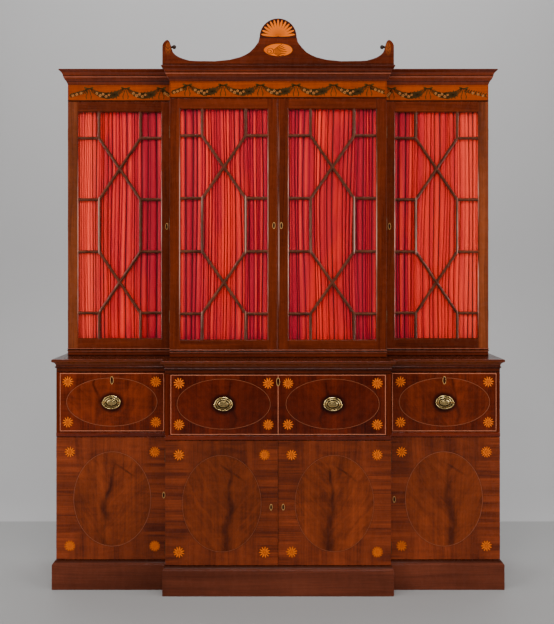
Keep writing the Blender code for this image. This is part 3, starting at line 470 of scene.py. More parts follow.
def inlay_material(name, light, dark=None, reach=0.6):
    """Thin inlaid wood, shaded by hot sand at its root: the UV runs from root to tip."""
    material, w, shader, place = new_material(name)
    along = w.split(w.take(0, "UVMap"))[0]
    grain = w.noise(place, (320, 320, 90))
    share = (along.ramp(0.0, reach) + grain * 0.25).clamped()
    w.finish(shader, w.mix(share, dark or light, light), grain * 0.1 + 0.4, grain, 0.0001, 0.3,
             Specular_IOR_Level=0.08, Coat_Weight=0.12, Coat_Roughness=0.1, Coat_IOR=1.35)
    return material


def pane_material(name):
    """Old crown glass: clear and faintly green; shadow rays pass so the silk behind is lit."""
    material, w, shader, place = new_material(name)
    w.finish(shader, (0.93, 0.97, 0.94), w.noise(place, 60.0).ramp(0.55, 0.8, 0.0, 0.03),
             w.noise(place, (5, 5, 3), 2.0), 0.0006, 0.25, Metallic=0.0, Transmission_Weight=1.0,
             IOR=1.45, Specular_IOR_Level=0.18)
    clear = w.take(0, "BsdfTransparent", Color=(0.96, 0.98, 0.96))
    mixed = w.take(0, "MixShader", _0=w.take("Is Shadow Ray", "LightPath"),
                   _1=Signal(w, shader), _2=clear)
    out = next(node for node in w.tree.nodes if node.type == "OUTPUT_MATERIAL")
    w.fill(out.inputs, Surface=mixed)
    return material


def silk_material(name):
    """Plain woven silk. The UV's x is how far forward a fold comes, its y the share across the door."""
    material, w, shader, place = new_material(name)
    forward, share, _ = w.split(w.take(0, "UVMap"))
    across = w.split(place)[0]
    rib = w.take("Fac", "TexWave", {"bands_direction": "Z"}, Vector=place, Scale=900.0,
                 Distortion=1.5, Detail=2.0)
    slub = w.noise(place, (60, 60, 900))
    cloud = w.noise(place, (5, 5, 1.3), 3.0, 0.6)
    fold = w.noise(place, (45, 45, 0.7), 2.0)
    cool = ((cloud.ramp(0.38, 0.56) + abs(share - 0.5).ramp(0.18, 0.40)) * 0.75).clamped()
    colour = w.mix(cool, (0.57, 0.0072, 0.0036), (0.32, 0.0002, 0.0145))
    # Painted highlight on the crests of the folds.
    bright = fold.ramp(0.38, 0.66) * forward.ramp(0.55, 1.0)
    colour = w.mix(bright * 0.9, colour, (0.92, 0.030, 0.0125))
    # Paler red over the right part of the curtains, and paler pink towards the outer sides of the wing doors.
    paler_right_part = across.ramp(0.60, 0.70) * fold.ramp(0.30, 0.60, 0.15, 0.65)
    colour = w.mix(paler_right_part, colour, (0.72, 0.020, 0.0040))
    paler_outer_sides = abs(across).ramp(0.79, 0.96) * fold.ramp(0.30, 0.60, 0.15, 0.75)
    colour = w.mix(paler_outer_sides, colour, (0.88, 0.056, 0.026))
    # Painted shade in the valleys of the folds.
    colour = w.mix(forward.ramp(0.0, 0.70, 1.0, 0.0), colour, (0.012, 0.0001, 0.0006))
    colour = w.mix(slub * 0.12, colour, (0.18, 0.0004, 0.004))
    w.finish(shader, colour, slub * 0.15 + 0.42, rib, 0.0002, 0.3, Specular_IOR_Level=0.08,
             Sheen_Weight=0.02, Sheen_Roughness=0.35, Sheen_Tint=(1.0, 0.25, 0.18))
    return material


LEATHER = leather_material("tooled leather")
GOLD = brass_material("gold tooling", (0.80, 0.55, 0.20), (0.50, 0.30, 0.10), 0.35)
BRASS = brass_material("handle brass", (0.82, 0.60, 0.26), (0.50, 0.33, 0.11), 0.17)
OLD_BRASS = brass_material("unrubbed brass", (0.085, 0.052, 0.018), (0.030, 0.017, 0.006), 0.42)
BRONZE = brass_material("hinge brass", (0.110, 0.050, 0.020), (0.050, 0.022, 0.010), 0.42)
GLASS = pane_material("pane glass")
SILK = silk_material("gathered silk")

INLAYS = {
    "string": inlay_material("boxwood stringing", (0.56, 0.190, 0.100)),
    "faint": inlay_material("darkened stringing", (0.260, 0.073, 0.032)),
    "petal": inlay_material("shaded satinwood petals", (0.92, 0.175, 0.0040),
                            (0.26, 0.032, 0.0006), 0.5),
    "flute": inlay_material("fan flutes", (0.84, 0.158, 0.0004), (0.70, 0.112, 0.0004), 0.3),
    "shade": inlay_material("scorched ground", (0.030, 0.0050, 0.0012)),
    "gilt": inlay_material("key plate", (0.60, 0.340, 0.110)),
    "leaf": inlay_material("stained green leaf", (0.046, 0.022, 0.0035), (0.011, 0.0048, 0.0010)),
    "rose": inlay_material("holly flowers", (0.52, 0.200, 0.050), (0.24, 0.055, 0.008)),
    "ribbon": inlay_material("stained ribbon", (0.060, 0.031, 0.0050), (0.016, 0.0070, 0.0014)),
    "ear": inlay_material("russet leaf", (0.250, 0.050, 0.0060), (0.090, 0.014, 0.0020)),
}
INLAY_AT = {finish: index for index, finish in enumerate(INLAYS)}

CUPBOARD_OVALS = {"wing_left": (-0.770, 0.4170), "centre_left": (-0.2566, 0.4175),
                  "centre_right": (0.2566, 0.4175), "wing_right": (0.770, 0.4170)}
CUPBOARD_HALVES = (0.180, 0.220)
DOOR_BENDS = {"wing_left": -0.012, "centre_left": 0.030, "centre_right": -0.035,
              "wing_right": 0.020}
DRAWER_OVAL = (0.772, 0.867)
DRAWER_HALVES = (0.211, 0.113)
DRAWER_HANDLE = (0.773, 0.8655)
FALL_OVAL = (0.248, 0.870)
FALL_HALVES = (0.213, 0.115)
FALL_HANDLE = (0.249, 0.8695)

# The finish of each kind of node, by how its name starts
FINISHES = (
    ("plinth", WOOD["plinth"]),
    (("base_side", "base_divider"), WOOD["end"]),
    (("upper_side", "upper_divider"), WOOD["upper end"]),
    (("dustboard", "base_bottom", "upper_bottom", "upper_top"), WOOD["rail"]),
    ("base_top", WOOD["top"]),
    (("cornice", "pediment"), WOOD["cornice"]),
    ("frieze", WOOD["frieze"]),
    (("base_back", "upper_back"), WOOD["back"]),
    ("shelf", WOOD["shelf"]),
    ("secretary_box", WOOD["lining"]),
    (("pigeonholes", "small_drawer"), WOOD["fitting"]),
    ("glazed_door", WOOD["door frame"]),
    ("glass", GLASS),
    ("curtain", SILK),
    (("handle_plate", "bail"), BRASS),
)


def paint(node, material):
    """Gives a CAD node's object this material in place of its own."""
    slots = nodes[node].data.materials
    slots.clear()
    slots.append(material)


def dress_model():
    """Gives every CAD node its own finish."""
    for node in nodes:
        for starts, material in FINISHES:
            if node.startswith(starts):
                paint(node, material)
    for index, place in enumerate(DOOR_PLACES):
        paint(f"cupboard_door_{place}",
              veneered(f"door veneer {place}", CUPBOARD_OVALS[place], CUPBOARD_HALVES,
                       DOOR_GROUND, DOOR_FIGURE, 3.0 + 7.3 * index, DOOR_BENDS[place]))
    for index, (side, sign) in enumerate(SIDES):
        paint(f"drawer_{side}",
              veneered(f"drawer veneer {side}", (DRAWER_OVAL[0] * sign, DRAWER_OVAL[1]),
                       DRAWER_HALVES, DRAWER, DRAWER_FIGURE, 1.7 + 5.1 * index, 0.06 * sign, 0.012,
                       0.8, 0.3, handle=(DRAWER_HANDLE[0] * sign, DRAWER_HANDLE[1])))
    paint("fall", veneered("fall veneer", FALL_OVAL, FALL_HALVES, FALL, FALL, 11.0, -0.05, 0.012,
                           0.8, 0.0, True, FALL_HANDLE))


def shown(name, data):
    """Puts a mesh, a light or a camera in the scene."""
    made = bpy.data.objects.new(name, data)
    bpy.context.scene.collection.objects.link(made)
    return made


def new_object(name, bm, *materials):
    """Makes an object of a bmesh, with its place in its mesh."""
    mesh = bpy.data.meshes.new(name)
    bm.to_mesh(mesh)
    bm.free()
    for material in materials:
        mesh.materials.append(material)
    return shown(name, mesh)


def shown_smooth(made, angle=32):
    """Smooth shading that breaks at real corners and leaves the large faces flat."""
    for polygon in made.data.polygons:
        polygon.use_smooth = True
    made.data.set_sharp_from_angle(angle=radians(angle))
    weighted = made.modifiers.new("flat faces stay flat", "WEIGHTED_NORMAL")
    weighted.keep_sharp = True
    weighted.weight = 90
    return made


def laid_on(piece, node):
    """A new piece moves with the body of a CAD node."""
    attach(piece, body_of_node[node])


def stands_for(piece, node):
    """A new piece takes the place of a CAD node."""
    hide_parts(node)
    laid_on(piece, node)


def verts_of(geometry):
    return [item for item in geometry if isinstance(item, bmesh.types.BMVert)]


def faces_of(geometry):
    return [item for item in geometry if isinstance(item, bmesh.types.BMFace)]


def outward(bm):
    bmesh.ops.recalc_face_normals(bm, faces=bm.faces)


def drawn_out(bm, face, step):
    """Extrudes a face by a step: the new face and its points."""
    grown = bmesh.ops.extrude_face_region(bm, geom=[face])["geom"]
    bmesh.ops.translate(bm, verts=verts_of(grown), vec=step)
    return faces_of(grown)[0], verts_of(grown)


def ring_in(bm, face, width, finish=0):
    """Insets a face: the faces of the ring round it."""
    ring = bmesh.ops.inset_region(bm, faces=[face], thickness=width, use_boundary=True,
                                  use_even_offset=True)["faces"]
    for side in ring:
        side.material_index = finish
    return ring


def turned(bm, points, centre, axis, steps):
    """Spins a line of points full round an axis."""
    line = [bm.verts.new(point) for point in points]
    path = [bm.edges.new(pair) for pair in zip(line, line[1:])]
    bmesh.ops.spin(bm, geom=line + path, cent=centre, axis=axis, dvec=(0, 0, 0), angle=FULL_TURN,
                   steps=steps, use_merge=True, use_duplicate=False)


KNUCKLE_REACH = 0.0044
KNUCKLE_HEIGHT = 0.030
SHORTEST_EDGE = 0.004


def softened(node, name, finishes, width=0.0007, steps=2, angle=28, axis=None, behind=None,
             ahead=None):
    """Stands for a CAD node: the same solid with its corners rubbed soft.

    The second finish goes on the knuckles round a hinge's axis, or behind or ahead of a plane.
    """
    bm = bmesh.new()
    bm.from_mesh(nodes[node].data)
    bmesh.ops.remove_doubles(bm, verts=bm.verts, dist=0.00001)
    bmesh.ops.dissolve_limit(bm, angle_limit=radians(0.6), verts=bm.verts, edges=bm.edges)
    for face in bm.faces:
        face.material_index = 0
        middle = face.calc_center_median()
        if behind is not None and middle.y > behind or ahead is not None and middle.y < ahead:
            face.material_index = 1
        if axis:
            tall = max(vert.co.z for vert in face.verts) - min(vert.co.z for vert in face.verts)
            off = hypot(middle.x - axis[0], middle.y - axis[1])
            if off < KNUCKLE_REACH and tall < KNUCKLE_HEIGHT:
                face.material_index = 1
    sharp = [edge for edge in bm.edges
             if edge.is_manifold and edge.calc_face_angle(0) > radians(angle)
             and edge.calc_length() > SHORTEST_EDGE
             and not any(face.material_index for face in edge.link_faces)]
    bmesh.ops.bevel(bm, geom=sharp, offset=width, offset_type="OFFSET", segments=steps, profile=0.5,
                    affect="EDGES", clamp_overlap=False, loop_slide=True, material=-1)
    stands_for(shown_smooth(new_object(name, bm, *finishes)), node)


def pin_of(door):
    """Where the pin of a door's hinge stands, seen from above."""
    joint = next(item for item in frame["joints"] if item["name"] == f"{door}_hinge")
    return joint["pos_m"][:2]


DOOR_ROUNDING = 0.0009
DRAWER_FRONT = 0.0205


def soften_model():
    """Rounds the corners of the wooden pieces, and turns their hinge knuckles to brass."""
    own = {node: nodes[node].data.materials[0] for node in nodes}
    for place in DOOR_PLACES:
        for door, name, slot in (("cupboard_door", "cupboard_front", "door_mahogany"),
                                 ("glazed_door", "door_frame", "upper_mahogany")):
            node = f"{door}_{place}"
            softened(node, f"{name}_{place}", (own[node], BRONZE), DOOR_ROUNDING,
                     axis=pin_of(node))
    for side, _ in SIDES:
        node = f"drawer_{side}"
        softened(node, f"drawer_case_{side}", (own[node], WOOD["lining"]),
                 DOOR_ROUNDING, behind=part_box(node)[0][1] + DRAWER_FRONT)
        for row in (1, 2):
            softened(f"small_drawer_{side}_{row}", f"small_drawer_case_{side}_{row}",
                     (WOOD["fitting"], BRASS), 0.0004,
                     ahead=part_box("pigeonholes")[0][1] - 0.0006)
        for board, name, door in (("base_side", "base_end", "cupboard_door_wing"),
                                  ("base_divider", "base_upright", "cupboard_door_centre"),
                                  ("upper_side", "upper_end", "glazed_door_wing"),
                                  ("upper_divider", "upper_upright", "glazed_door_centre")):
            node = f"{board}_{side}"
            softened(node, f"{name}_{side}", (own[node], BRONZE),
                     axis=pin_of(f"{door}_{side}"))
    frieze_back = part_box("frieze")[1][1] - 0.006
    for node, name, woods, slot, width, steps, angle, behind in (
            ("fall", "fall_front", (), "drawer_mahogany", DOOR_ROUNDING, 2, 28, None),
            ("plinth", "plinth_frame", (), "plinth_mahogany", 0.0022, 3, 12, None),
            ("base_top", "base_top_moulding", (), "case_mahogany", 0.0012, 3, 12, None),
            ("upper_bottom", "upper_foot_moulding", ("foot",), "case_mahogany", 0.0008, 2, 20, None),
            ("cornice", "cornice_moulding", (), "upper_mahogany", 0.0016, 3, 12, None),
            ("frieze", "frieze_board", ("frieze", "back"), "satinwood", 0.0005, 2, 28, frieze_back),
            ("pediment", "crest_board", (), "upper_mahogany", 0.0010, 2, 28, None),
            ("dustboard_left", "rail_left", (), "case_mahogany", 0.0006, 2, 20, None),
            ("dustboard_centre", "rail_centre", (), "case_mahogany", 0.0006, 2, 20, None),
            ("dustboard_right", "rail_right", (), "case_mahogany", 0.0006, 2, 20, None)):
        finishes = [WOOD[wood] for wood in woods] or [own[node]]
        softened(node, name, finishes, width, steps, angle, behind=behind)


KNOB_ACROSS_SHARE = 0.8965
KNOB_UP_SHARE = 0.395
KNOB_OUTLINE = ((0, -0.0086), (0.0056, -0.0070), (0.0092, -0.0030), (0.0100, 0.0014),
                (0.0092, 0.0058), (0.0060, 0.0092), (0.0048, 0.0104), (0.0060, 0.0112),
                (0.0060, 0.0124), (0.0040, 0.0132), (0.0034, 0.0200), (0, 0.0200))


def ear_knobs():
    """Small turned knobs on the inner edges of the two ears, stained dark."""
    low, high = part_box("pediment")
    y = (low[1] + high[1]) / 2
    x = high[0] * KNOB_ACROSS_SHARE
    z = low[2] + (high[2] - low[2]) * KNOB_UP_SHARE
    for side, sign in SIDES:
        bm = bmesh.new()
        turned(bm, [(sign * (x + along), y + radius, z) for radius, along in KNOB_OUTLINE],
               (0, y, z), (1, 0, 0), 24)
        bmesh.ops.remove_doubles(bm, verts=bm.verts, dist=0.000001)
        outward(bm)
        laid_on(shown_smooth(new_object(f"ear_knob_{side}", bm, WOOD["knob"]), 60), "pediment")


FALL_BOARD = 0.022
LEATHER_SIZE = (0.860, 0.205)
LEATHER_RISE = 0.0005
# Each ring of the leather: how far in, and whether it is gilt
LEATHER_RINGS = ((0.0100, 0), (0.0016, 1), (0.0030, 0), (0.0008, 1))


def writing_panel():
    """Tooled leather let into the inner side of the fall, with two gilt lines near its edge."""
    low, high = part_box("fall")
    bm = bmesh.new()
    made = bmesh.ops.create_grid(bm, x_segments=1, y_segments=1, size=0.5)["verts"]
    place = (Matrix.Translation((0, low[1] + FALL_BOARD - 0.0001, (low[2] + high[2]) / 2 + 0.002))
             @ Matrix.Rotation(-pi / 2, 4, "X") @ Matrix.Diagonal((*LEATHER_SIZE, 1, 1)))
    bmesh.ops.transform(bm, matrix=place, verts=made)
    face, _ = drawn_out(bm, made[0].link_faces[0], (0, LEATHER_RISE, 0))
    for inward, finish in LEATHER_RINGS:
        ring_in(bm, face, inward, finish)
    outward(bm)
    laid_on(new_object("writing_leather", bm, LEATHER, GOLD), "fall")


PLEATS = 25
PLEAT_POINTS = 12
CURTAIN_ROWS = 26
FOLD_DEPTH = 0.0075
PINCH = 0.35
PINCH_REACH = 0.03


def gathered_curtain(place, chance):
    """Silk gathered on a wire: uneven upright pleats that wander a little on their way down."""
    low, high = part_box(f"curtain_{place}")
    widths = [chance.choice((0.5, 0.7, 1.0, 1.4, 2.0)) * chance.uniform(0.85, 1.15)
              for _ in range(PLEATS)]
    edges = [0.0]
    for width in widths:
        edges.append(edges[-1] + width / sum(widths))
    heights = [chance.uniform(0.62, 1.0) for _ in range(PLEATS)]
    floors = [chance.choice((0.0, 0.0, 0.12, 0.30)) for _ in range(PLEATS + 1)]
    sways = [(chance.uniform(0, 6.28), chance.uniform(0.25, 0.9), chance.uniform(0, 0.34))
             for _ in range(PLEATS + 1)]
    drift_start, drift_beat, drift = (chance.uniform(0, 6.28), chance.uniform(0.5, 0.8),
                                      chance.uniform(0.25, 0.55))
    leans = [chance.uniform(0.38, 0.62) for _ in range(PLEATS)]
    bm = bmesh.new()
    made = bmesh.ops.create_grid(bm, x_segments=PLEATS * PLEAT_POINTS, y_segments=CURTAIN_ROWS,
                                 size=0.5)["verts"]
    uv = bm.loops.layers.uv.verify()
    forward = {}
    for vert in made:
        across = (vert.co.x + 0.5) * PLEATS
        down = vert.co.y + 0.5
        index = min(int(across + 0.0001), PLEATS - 1)
        inner = across - index
        bound = []
        for line in (index, index + 1):
            start, beat, reach = sways[line]
            sway = sin(start + beat * FULL_TURN * down) * reach / PLEATS
            sway += (drift / PLEATS * sin(drift_start + drift_beat * FULL_TURN * down
                                               + 3.0 * edges[line])
                     * sin(pi * edges[line]))
            bound.append(edges[line] + (sway if 0 < line < PLEATS else 0))
        share = bound[0] + (bound[1] - bound[0]) * inner
        tip = leans[index]
        near = inner / tip if inner < tip else (1 - inner) / (1 - tip)
        swell = sin(pi / 2 * max(near, 0)) ** 0.7
        rest = floors[index] if inner < tip else floors[index + 1]
        pinch = (1 - PINCH * exp(-((down - 1) / PINCH_REACH) ** 2)
                 - PINCH * exp(-(down / PINCH_REACH) ** 2))
        height = (rest + (heights[index] - rest) * swell) * pinch
        forward[vert] = height
        vert.co = Vector((low[0] + (high[0] - low[0]) * share,
                          low[1] + 0.0004 + FOLD_DEPTH * (1 - height),
                          low[2] + (high[2] - low[2]) * down))
    for face in bm.faces:
        face.smooth = True
        for loop in face.loops:
            loop[uv].uv = (forward[loop.vert], (loop.vert.co.x - low[0]) / (high[0] - low[0]))
    outward(bm)
    if sum(face.normal.y for face in bm.faces) > 0:
        bmesh.ops.reverse_faces(bm, faces=bm.faces)
    middle = (low[2] + high[2]) / 2
    reach = (high[2] - low[2]) / CURTAIN_ROWS / 2
    row = sorted((vert for vert in made if abs(vert.co.z - middle) < reach),
                 key=lambda vert: vert.co.x)
    curtain = new_object(f"silk_{place}", bm, SILK)
    stands_for(curtain, f"curtain_{place}")


PLATE_THICKNESS = 0.0012
# Each ring of a handle's plate: how far in, how far back, and whether it is unrubbed
PLATE_RINGS = ((0.0006, -0.0010, 0), (0.0018, -0.0007, 0), (0.0012, 0.0012, 1),
               (0.0056, -0.0001, 1), (0.0009, -0.0012, 0), (0.0016, -0.0003, 0),
               (0.0009, 0.0012, 1), (0.0062, -0.0002, 1), (0.0010, -0.0010, 0),
               (0.0030, -0.0010, 0), (0.0022, 0.0009, 1), (0.0006, -0.0007, 0))
BEADS = 44
BEAD_RADIUS = 0.0010
BEAD_INSET = 0.0072
BEAD_LIFT = 0.0013
POST_X = 0.0345
POST_FOOT = ((0.0048, -0.0010), (0.0048, -0.0026), (0.0030, -0.0040))
POST_HEAD = ((0.0026, 0.0052), (0.0042, 0.0038), (0.0044, 0), (0.0043, -0.0015),
             (0.0030, -0.0030), (0.0022, -0.0040), (0.0026, -0.0058), (0.0024, -0.0078),
             (0.0010, -0.0090))


def brass_plate(place, x, z, pivot_y):
    """Oval plate with a rolled rim and a beaded line, and its two turned posts."""
    low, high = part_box(f"handle_plate_{place}")
    half_width = (high[0] - low[0]) / 2
    half_height = (high[2] - low[2]) / 2
    bm = bmesh.new()
    made = bmesh.ops.create_circle(bm, cap_ends=True, radius=1, segments=72)["verts"]
    bmesh.ops.transform(bm, verts=made, matrix=Matrix.Translation((x, high[1], z)) @ FACING
                        @ Matrix.Diagonal((half_width, half_height, 1, 1)))
    face, _ = drawn_out(bm, made[0].link_faces[0], (0, -PLATE_THICKNESS, 0))
    for inward, back, finish in PLATE_RINGS:
        ring_in(bm, face, inward, finish)
        bmesh.ops.translate(bm, verts=list(face.verts), vec=(0, back, 0))
    for index in range(BEADS):
        turn = FULL_TURN * index / BEADS
        bead = bmesh.ops.create_icosphere(bm, subdivisions=1, radius=BEAD_RADIUS)["verts"]
        bmesh.ops.translate(bm, verts=bead, vec=(x + (half_width - BEAD_INSET) * cos(turn),
                                                 high[1] - BEAD_LIFT,
                                                 z + (half_height - BEAD_INSET) * sin(turn)))
    for _, sign in SIDES:
        post_x = x + sign * POST_X
        outline = [(radius, high[1] + along) for radius, along in POST_FOOT]
        outline += [(radius, pivot_y + along) for radius, along in POST_HEAD]
        turned(bm, [(post_x + radius, y, z) for radius, y in outline], (post_x, 0, z), (0, 1, 0),
               16)
    outward(bm)
    stands_for(shown_smooth(new_object(f"brass_plate_{place}", bm, BRASS, OLD_BRASS), 50),
               f"handle_plate_{place}")


BAIL_REACH = 0.0414
BAIL_DROP = 0.0270
BAIL_STEPS = 36
WIRE_RADIUS = 0.0017
WIRE_SWELL = 0.0008
EYE_RADIUS = 0.0037
EYE_LENGTH = 0.0040
EYE_ROUNDING = 0.0007
RIM_ANGLE = 1.0


def brass_bail(place, x, z, pivot_y):
    """A hanging loop that swells in the middle, with an eye at each end."""
    bm = bmesh.new()
    before = Vector((x - BAIL_REACH, pivot_y, z))
    ring = bmesh.ops.create_circle(bm, cap_ends=True, radius=WIRE_RADIUS, segments=12)["verts"]
    bmesh.ops.rotate(bm, verts=ring, cent=(0, 0, 0), matrix=Matrix.Rotation(pi, 3, "X"))
    bmesh.ops.translate(bm, verts=ring, vec=before)
    face = ring[0].link_faces[0]
    tilt = 0.0
    for index in range(1, BAIL_STEPS + 1):
        turn = pi + pi * index / BAIL_STEPS
        here = Vector((x + BAIL_REACH * cos(turn), pivot_y, z + BAIL_DROP * sin(turn)))
        way = atan2(BAIL_DROP * cos(turn), -BAIL_REACH * sin(turn))
        lean = way + pi / 2
        face, moved = drawn_out(bm, face, here - before)
        bmesh.ops.rotate(bm, verts=moved, cent=here, matrix=Matrix.Rotation(-(lean - tilt), 3, "Y"))
        now, last = (WIRE_RADIUS + WIRE_SWELL * sin(pi * step / BAIL_STEPS) ** 3
                     for step in (index, index - 1))
        bmesh.ops.scale(bm, verts=moved, vec=(now / last,) * 3, space=Matrix.Translation(-here))
        before, tilt = here, lean
    for _, sign in SIDES:
        eye = bmesh.ops.create_cone(bm, cap_ends=True, segments=20, radius1=EYE_RADIUS,
                                    radius2=EYE_RADIUS, depth=EYE_LENGTH,
                                    matrix=Matrix.Translation((x + sign * BAIL_REACH, pivot_y, z))
                                    @ Matrix.Rotation(pi / 2, 4, "Y"))["verts"]
        rims = list(dict.fromkeys(edge for vert in eye for edge in vert.link_edges
                                  if edge.calc_face_angle(0) > RIM_ANGLE))
        bmesh.ops.bevel(bm, geom=rims, offset=EYE_ROUNDING, offset_type="OFFSET", segments=2,
                        profile=0.5, affect="EDGES", material=-1)
    outward(bm)
    stands_for(shown_smooth(new_object(f"brass_bail_{place}", bm, BRASS), 50), f"bail_{place}")


def handle(place):
    low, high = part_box(f"handle_plate_{place}")
    x, z = (low[0] + high[0]) / 2, (low[2] + high[2]) / 2
    low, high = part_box(f"bail_{place}")
    for part in (brass_plate, brass_bail):
        part(place, x, z, (low[1] + high[1]) / 2)


PROUD = 0.00025
SUNK = 0.00005
ROSETTE_RADIUS = 0.0245
KEY_OUTLINE = (0.0016, 0.0026)


class Inlay:
    """All the inlay of one moving front: thin pieces of wood let into the plane at front_y.

    A finish is a name in INLAYS, and a height is a number of times PROUD.
    """

    def __init__(self, front_y):
        self.bm = bmesh.new()
        self.front_y = front_y

    def placed(self, verts, x, z, width, height, turn=0.0):
        """Stands flat points of size 1 up in the front plane at their own size."""
        place = (Matrix.Translation((x, self.front_y + SUNK, z)) @ FACING
                 @ Matrix.Rotation(turn, 4, "Z") @ Matrix.Diagonal((width, height, 1, 1)))
        bmesh.ops.transform(self.bm, matrix=place, verts=verts)
        return list(verts[0].link_faces)

    def raised(self, faces, finish, height=1.0):
        """Gives flat faces a thickness towards the front, and a finish."""
        grown = bmesh.ops.extrude_face_region(self.bm, geom=faces)["geom"]
        bmesh.ops.translate(self.bm, verts=verts_of(grown), vec=(0, -height * PROUD - SUNK, 0))
        touched = set(faces_of(grown))
        for vert in verts_of(grown):
            touched.update(vert.link_faces)
        for face in touched:
            face.material_index = INLAY_AT[finish]

    def bordered(self, faces, finish, width):
        """Keeps only a border of a flat face, and raises it."""
        ring = ring_in(self.bm, faces[0], width)
        bmesh.ops.delete(self.bm, geom=faces, context="FACES")
        self.raised(ring, finish)

    def leaf(self, finish, x, z, length, width, turn=0.0, root=0.45, sides=10, height=1.0):
        """A flat petal; its root is the narrower end, and it points along turn."""
        uv = self.bm.loops.layers.uv.verify()
        made = bmesh.ops.create_circle(self.bm, cap_ends=True, radius=0.5, segments=sides)["verts"]
        share = {vert: vert.co.x + 0.5 for vert in made}
        for vert in made:
            vert.co.y *= root + (1 - root) * sqrt(max(share[vert], 0.0))
        faces = self.placed(made, x, z, length, width, turn)
        for face in faces:
            for loop in face.loops:
                loop[uv].uv = (share[loop.vert], 0.5)
        self.raised(faces, finish, height)

    def disc(self, finish, x, z, half_width, half_height=None, sides=32, height=1.0):
        self.leaf(finish, x, z, 2 * half_width, 2 * (half_height or half_width), 0.0, 1.0, sides,
                  height)

    def radial(self, finish, x, z, inner, outer, width, turns, root=0.35, height=1.0, sides=10):
        """Petals that stand round a centre, one at each turn."""
        middle = (inner + outer) / 2
        for turn in turns:
            self.leaf(finish, x + middle * cos(turn), z + middle * sin(turn),
                      outer - inner, width, turn, root, sides, height)

    def oval_line(self, x, z, half_width, half_height, width):
        """A thin darkened line round an oval."""
        made = bmesh.ops.create_circle(self.bm, cap_ends=True, radius=1, segments=96)["verts"]
        self.bordered(self.placed(made, x, z, half_width, half_height), "faint", width)

    def strip(self, x_span, z_span):
        """A flat rectangle in the front plane."""
        made = bmesh.ops.create_grid(self.bm, x_segments=1, y_segments=1, size=0.5)["verts"]
        return self.placed(made, sum(x_span) / 2, sum(z_span) / 2, x_span[1] - x_span[0],
                           z_span[1] - z_span[0])

    def rosettes(self, x, z, across, up, chance):
        """Round paterae at four corners: scorched ground, shaded petals and a small button."""
        for off_x in (-across, across):
            for off_z in (-up, up):
                radius = ROSETTE_RADIUS * chance.uniform(0.97, 1.03)
                petals = chance.choice((11, 12, 13))
                start = chance.uniform(0, 1)
                spot = (x + off_x, z + off_z)
                turns = [start + FULL_TURN * index / petals for index in range(petals)]
                self.disc("shade", *spot, radius * 0.86, height=0.6)
                self.radial("petal", *spot, radius * 0.06, radius * 1.03, radius * 2.8 / petals,
                            turns, 0.22)
                self.disc("petal", *spot, radius * 0.12, sides=10, height=1.4)

    def key_plate(self, x, z, half_width=0.0080, half_height=0.0190):
        """Oval key plate: a light outline round a dark field."""
        self.disc("gilt", x, z, half_width, half_height, 12)
        self.disc("shade", x, z, half_width - KEY_OUTLINE[0], half_height - KEY_OUTLINE[1], 12, 1.3)

    def done(self, name, node):
        """Makes the piece, which moves with the front that it is let into."""
        laid_on(new_object(name, self.bm, *INLAYS.values()), node)


STRING_WIDTH = 0.0024
DRAWER_EDGE = 0.0018
FALL_EDGE = 0.0035
ROSETTE_UP = 0.094
DRAWER_ROSETTE_ACROSS = 0.204
FALL_ROSETTE_ACROSS = 0.203
DRAWER_KEY_Z = 0.968
FALL_KEY_Z = 0.971


def inlay_drawers():
    """Line, oval and four rosettes on each wing drawer; the fall is laid out as two drawers."""
    chance = random.Random(41)
    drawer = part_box("drawer_left")
    low, high = drawer[0][2] + 0.0045, drawer[1][2] - 0.0035
    for side, sign in SIDES:
        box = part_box(f"drawer_{side}")
        x, z = DRAWER_OVAL[0] * sign, DRAWER_OVAL[1]
        work = Inlay(drawer[0][1])
        work.bordered(work.strip((box[0][0] + DRAWER_EDGE, box[1][0] - DRAWER_EDGE), (low, high)),
                      "string", STRING_WIDTH)
        work.oval_line(x, z, *DRAWER_HALVES, 0.0022)
        work.rosettes(x, z, DRAWER_ROSETTE_ACROSS, ROSETTE_UP, chance)
        work.key_plate(x, DRAWER_KEY_Z)
        work.done(f"drawer_inlay_{side}", f"drawer_{side}")
    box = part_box("fall")
    work = Inlay(box[0][1])
    work.bordered(work.strip((box[0][0] + FALL_EDGE, box[1][0] - FALL_EDGE),
                             (low - 0.001, high + 0.002)), "string", STRING_WIDTH)
    work.raised(work.strip((-STRING_WIDTH / 2, STRING_WIDTH / 2), (low, high)), "string", 0.9)
    for _, sign in SIDES:
        x, z = FALL_OVAL[0] * sign, FALL_OVAL[1]
        work.oval_line(x, z, *FALL_HALVES, 0.0018)
        work.rosettes(x, z, FALL_ROSETTE_ACROSS, ROSETTE_UP, chance)
    work.key_plate(0, FALL_KEY_Z)
    work.done("fall_inlay", "fall")


CUPBOARD_LINES = {"wing": 0.0020, "centre": 0.0014}
CUPBOARD_ROSETTES = {"wing": (0.197, 0.218), "centre": (0.195, 0.221)}
CUPBOARD_KEYS = {"wing_left": (-0.531, 0.435), "centre_left": (-0.032, 0.401),
                 "centre_right": (0.023, 0.401), "wing_right": (0.539, 0.415)}
GLAZED_KEYS = {"wing_left": -0.537, "centre_left": -0.020, "centre_right": 0.015,
               "wing_right": 0.537}
GLAZED_KEY_Z = 1.690
GLASS_SETBACK = 0.0103


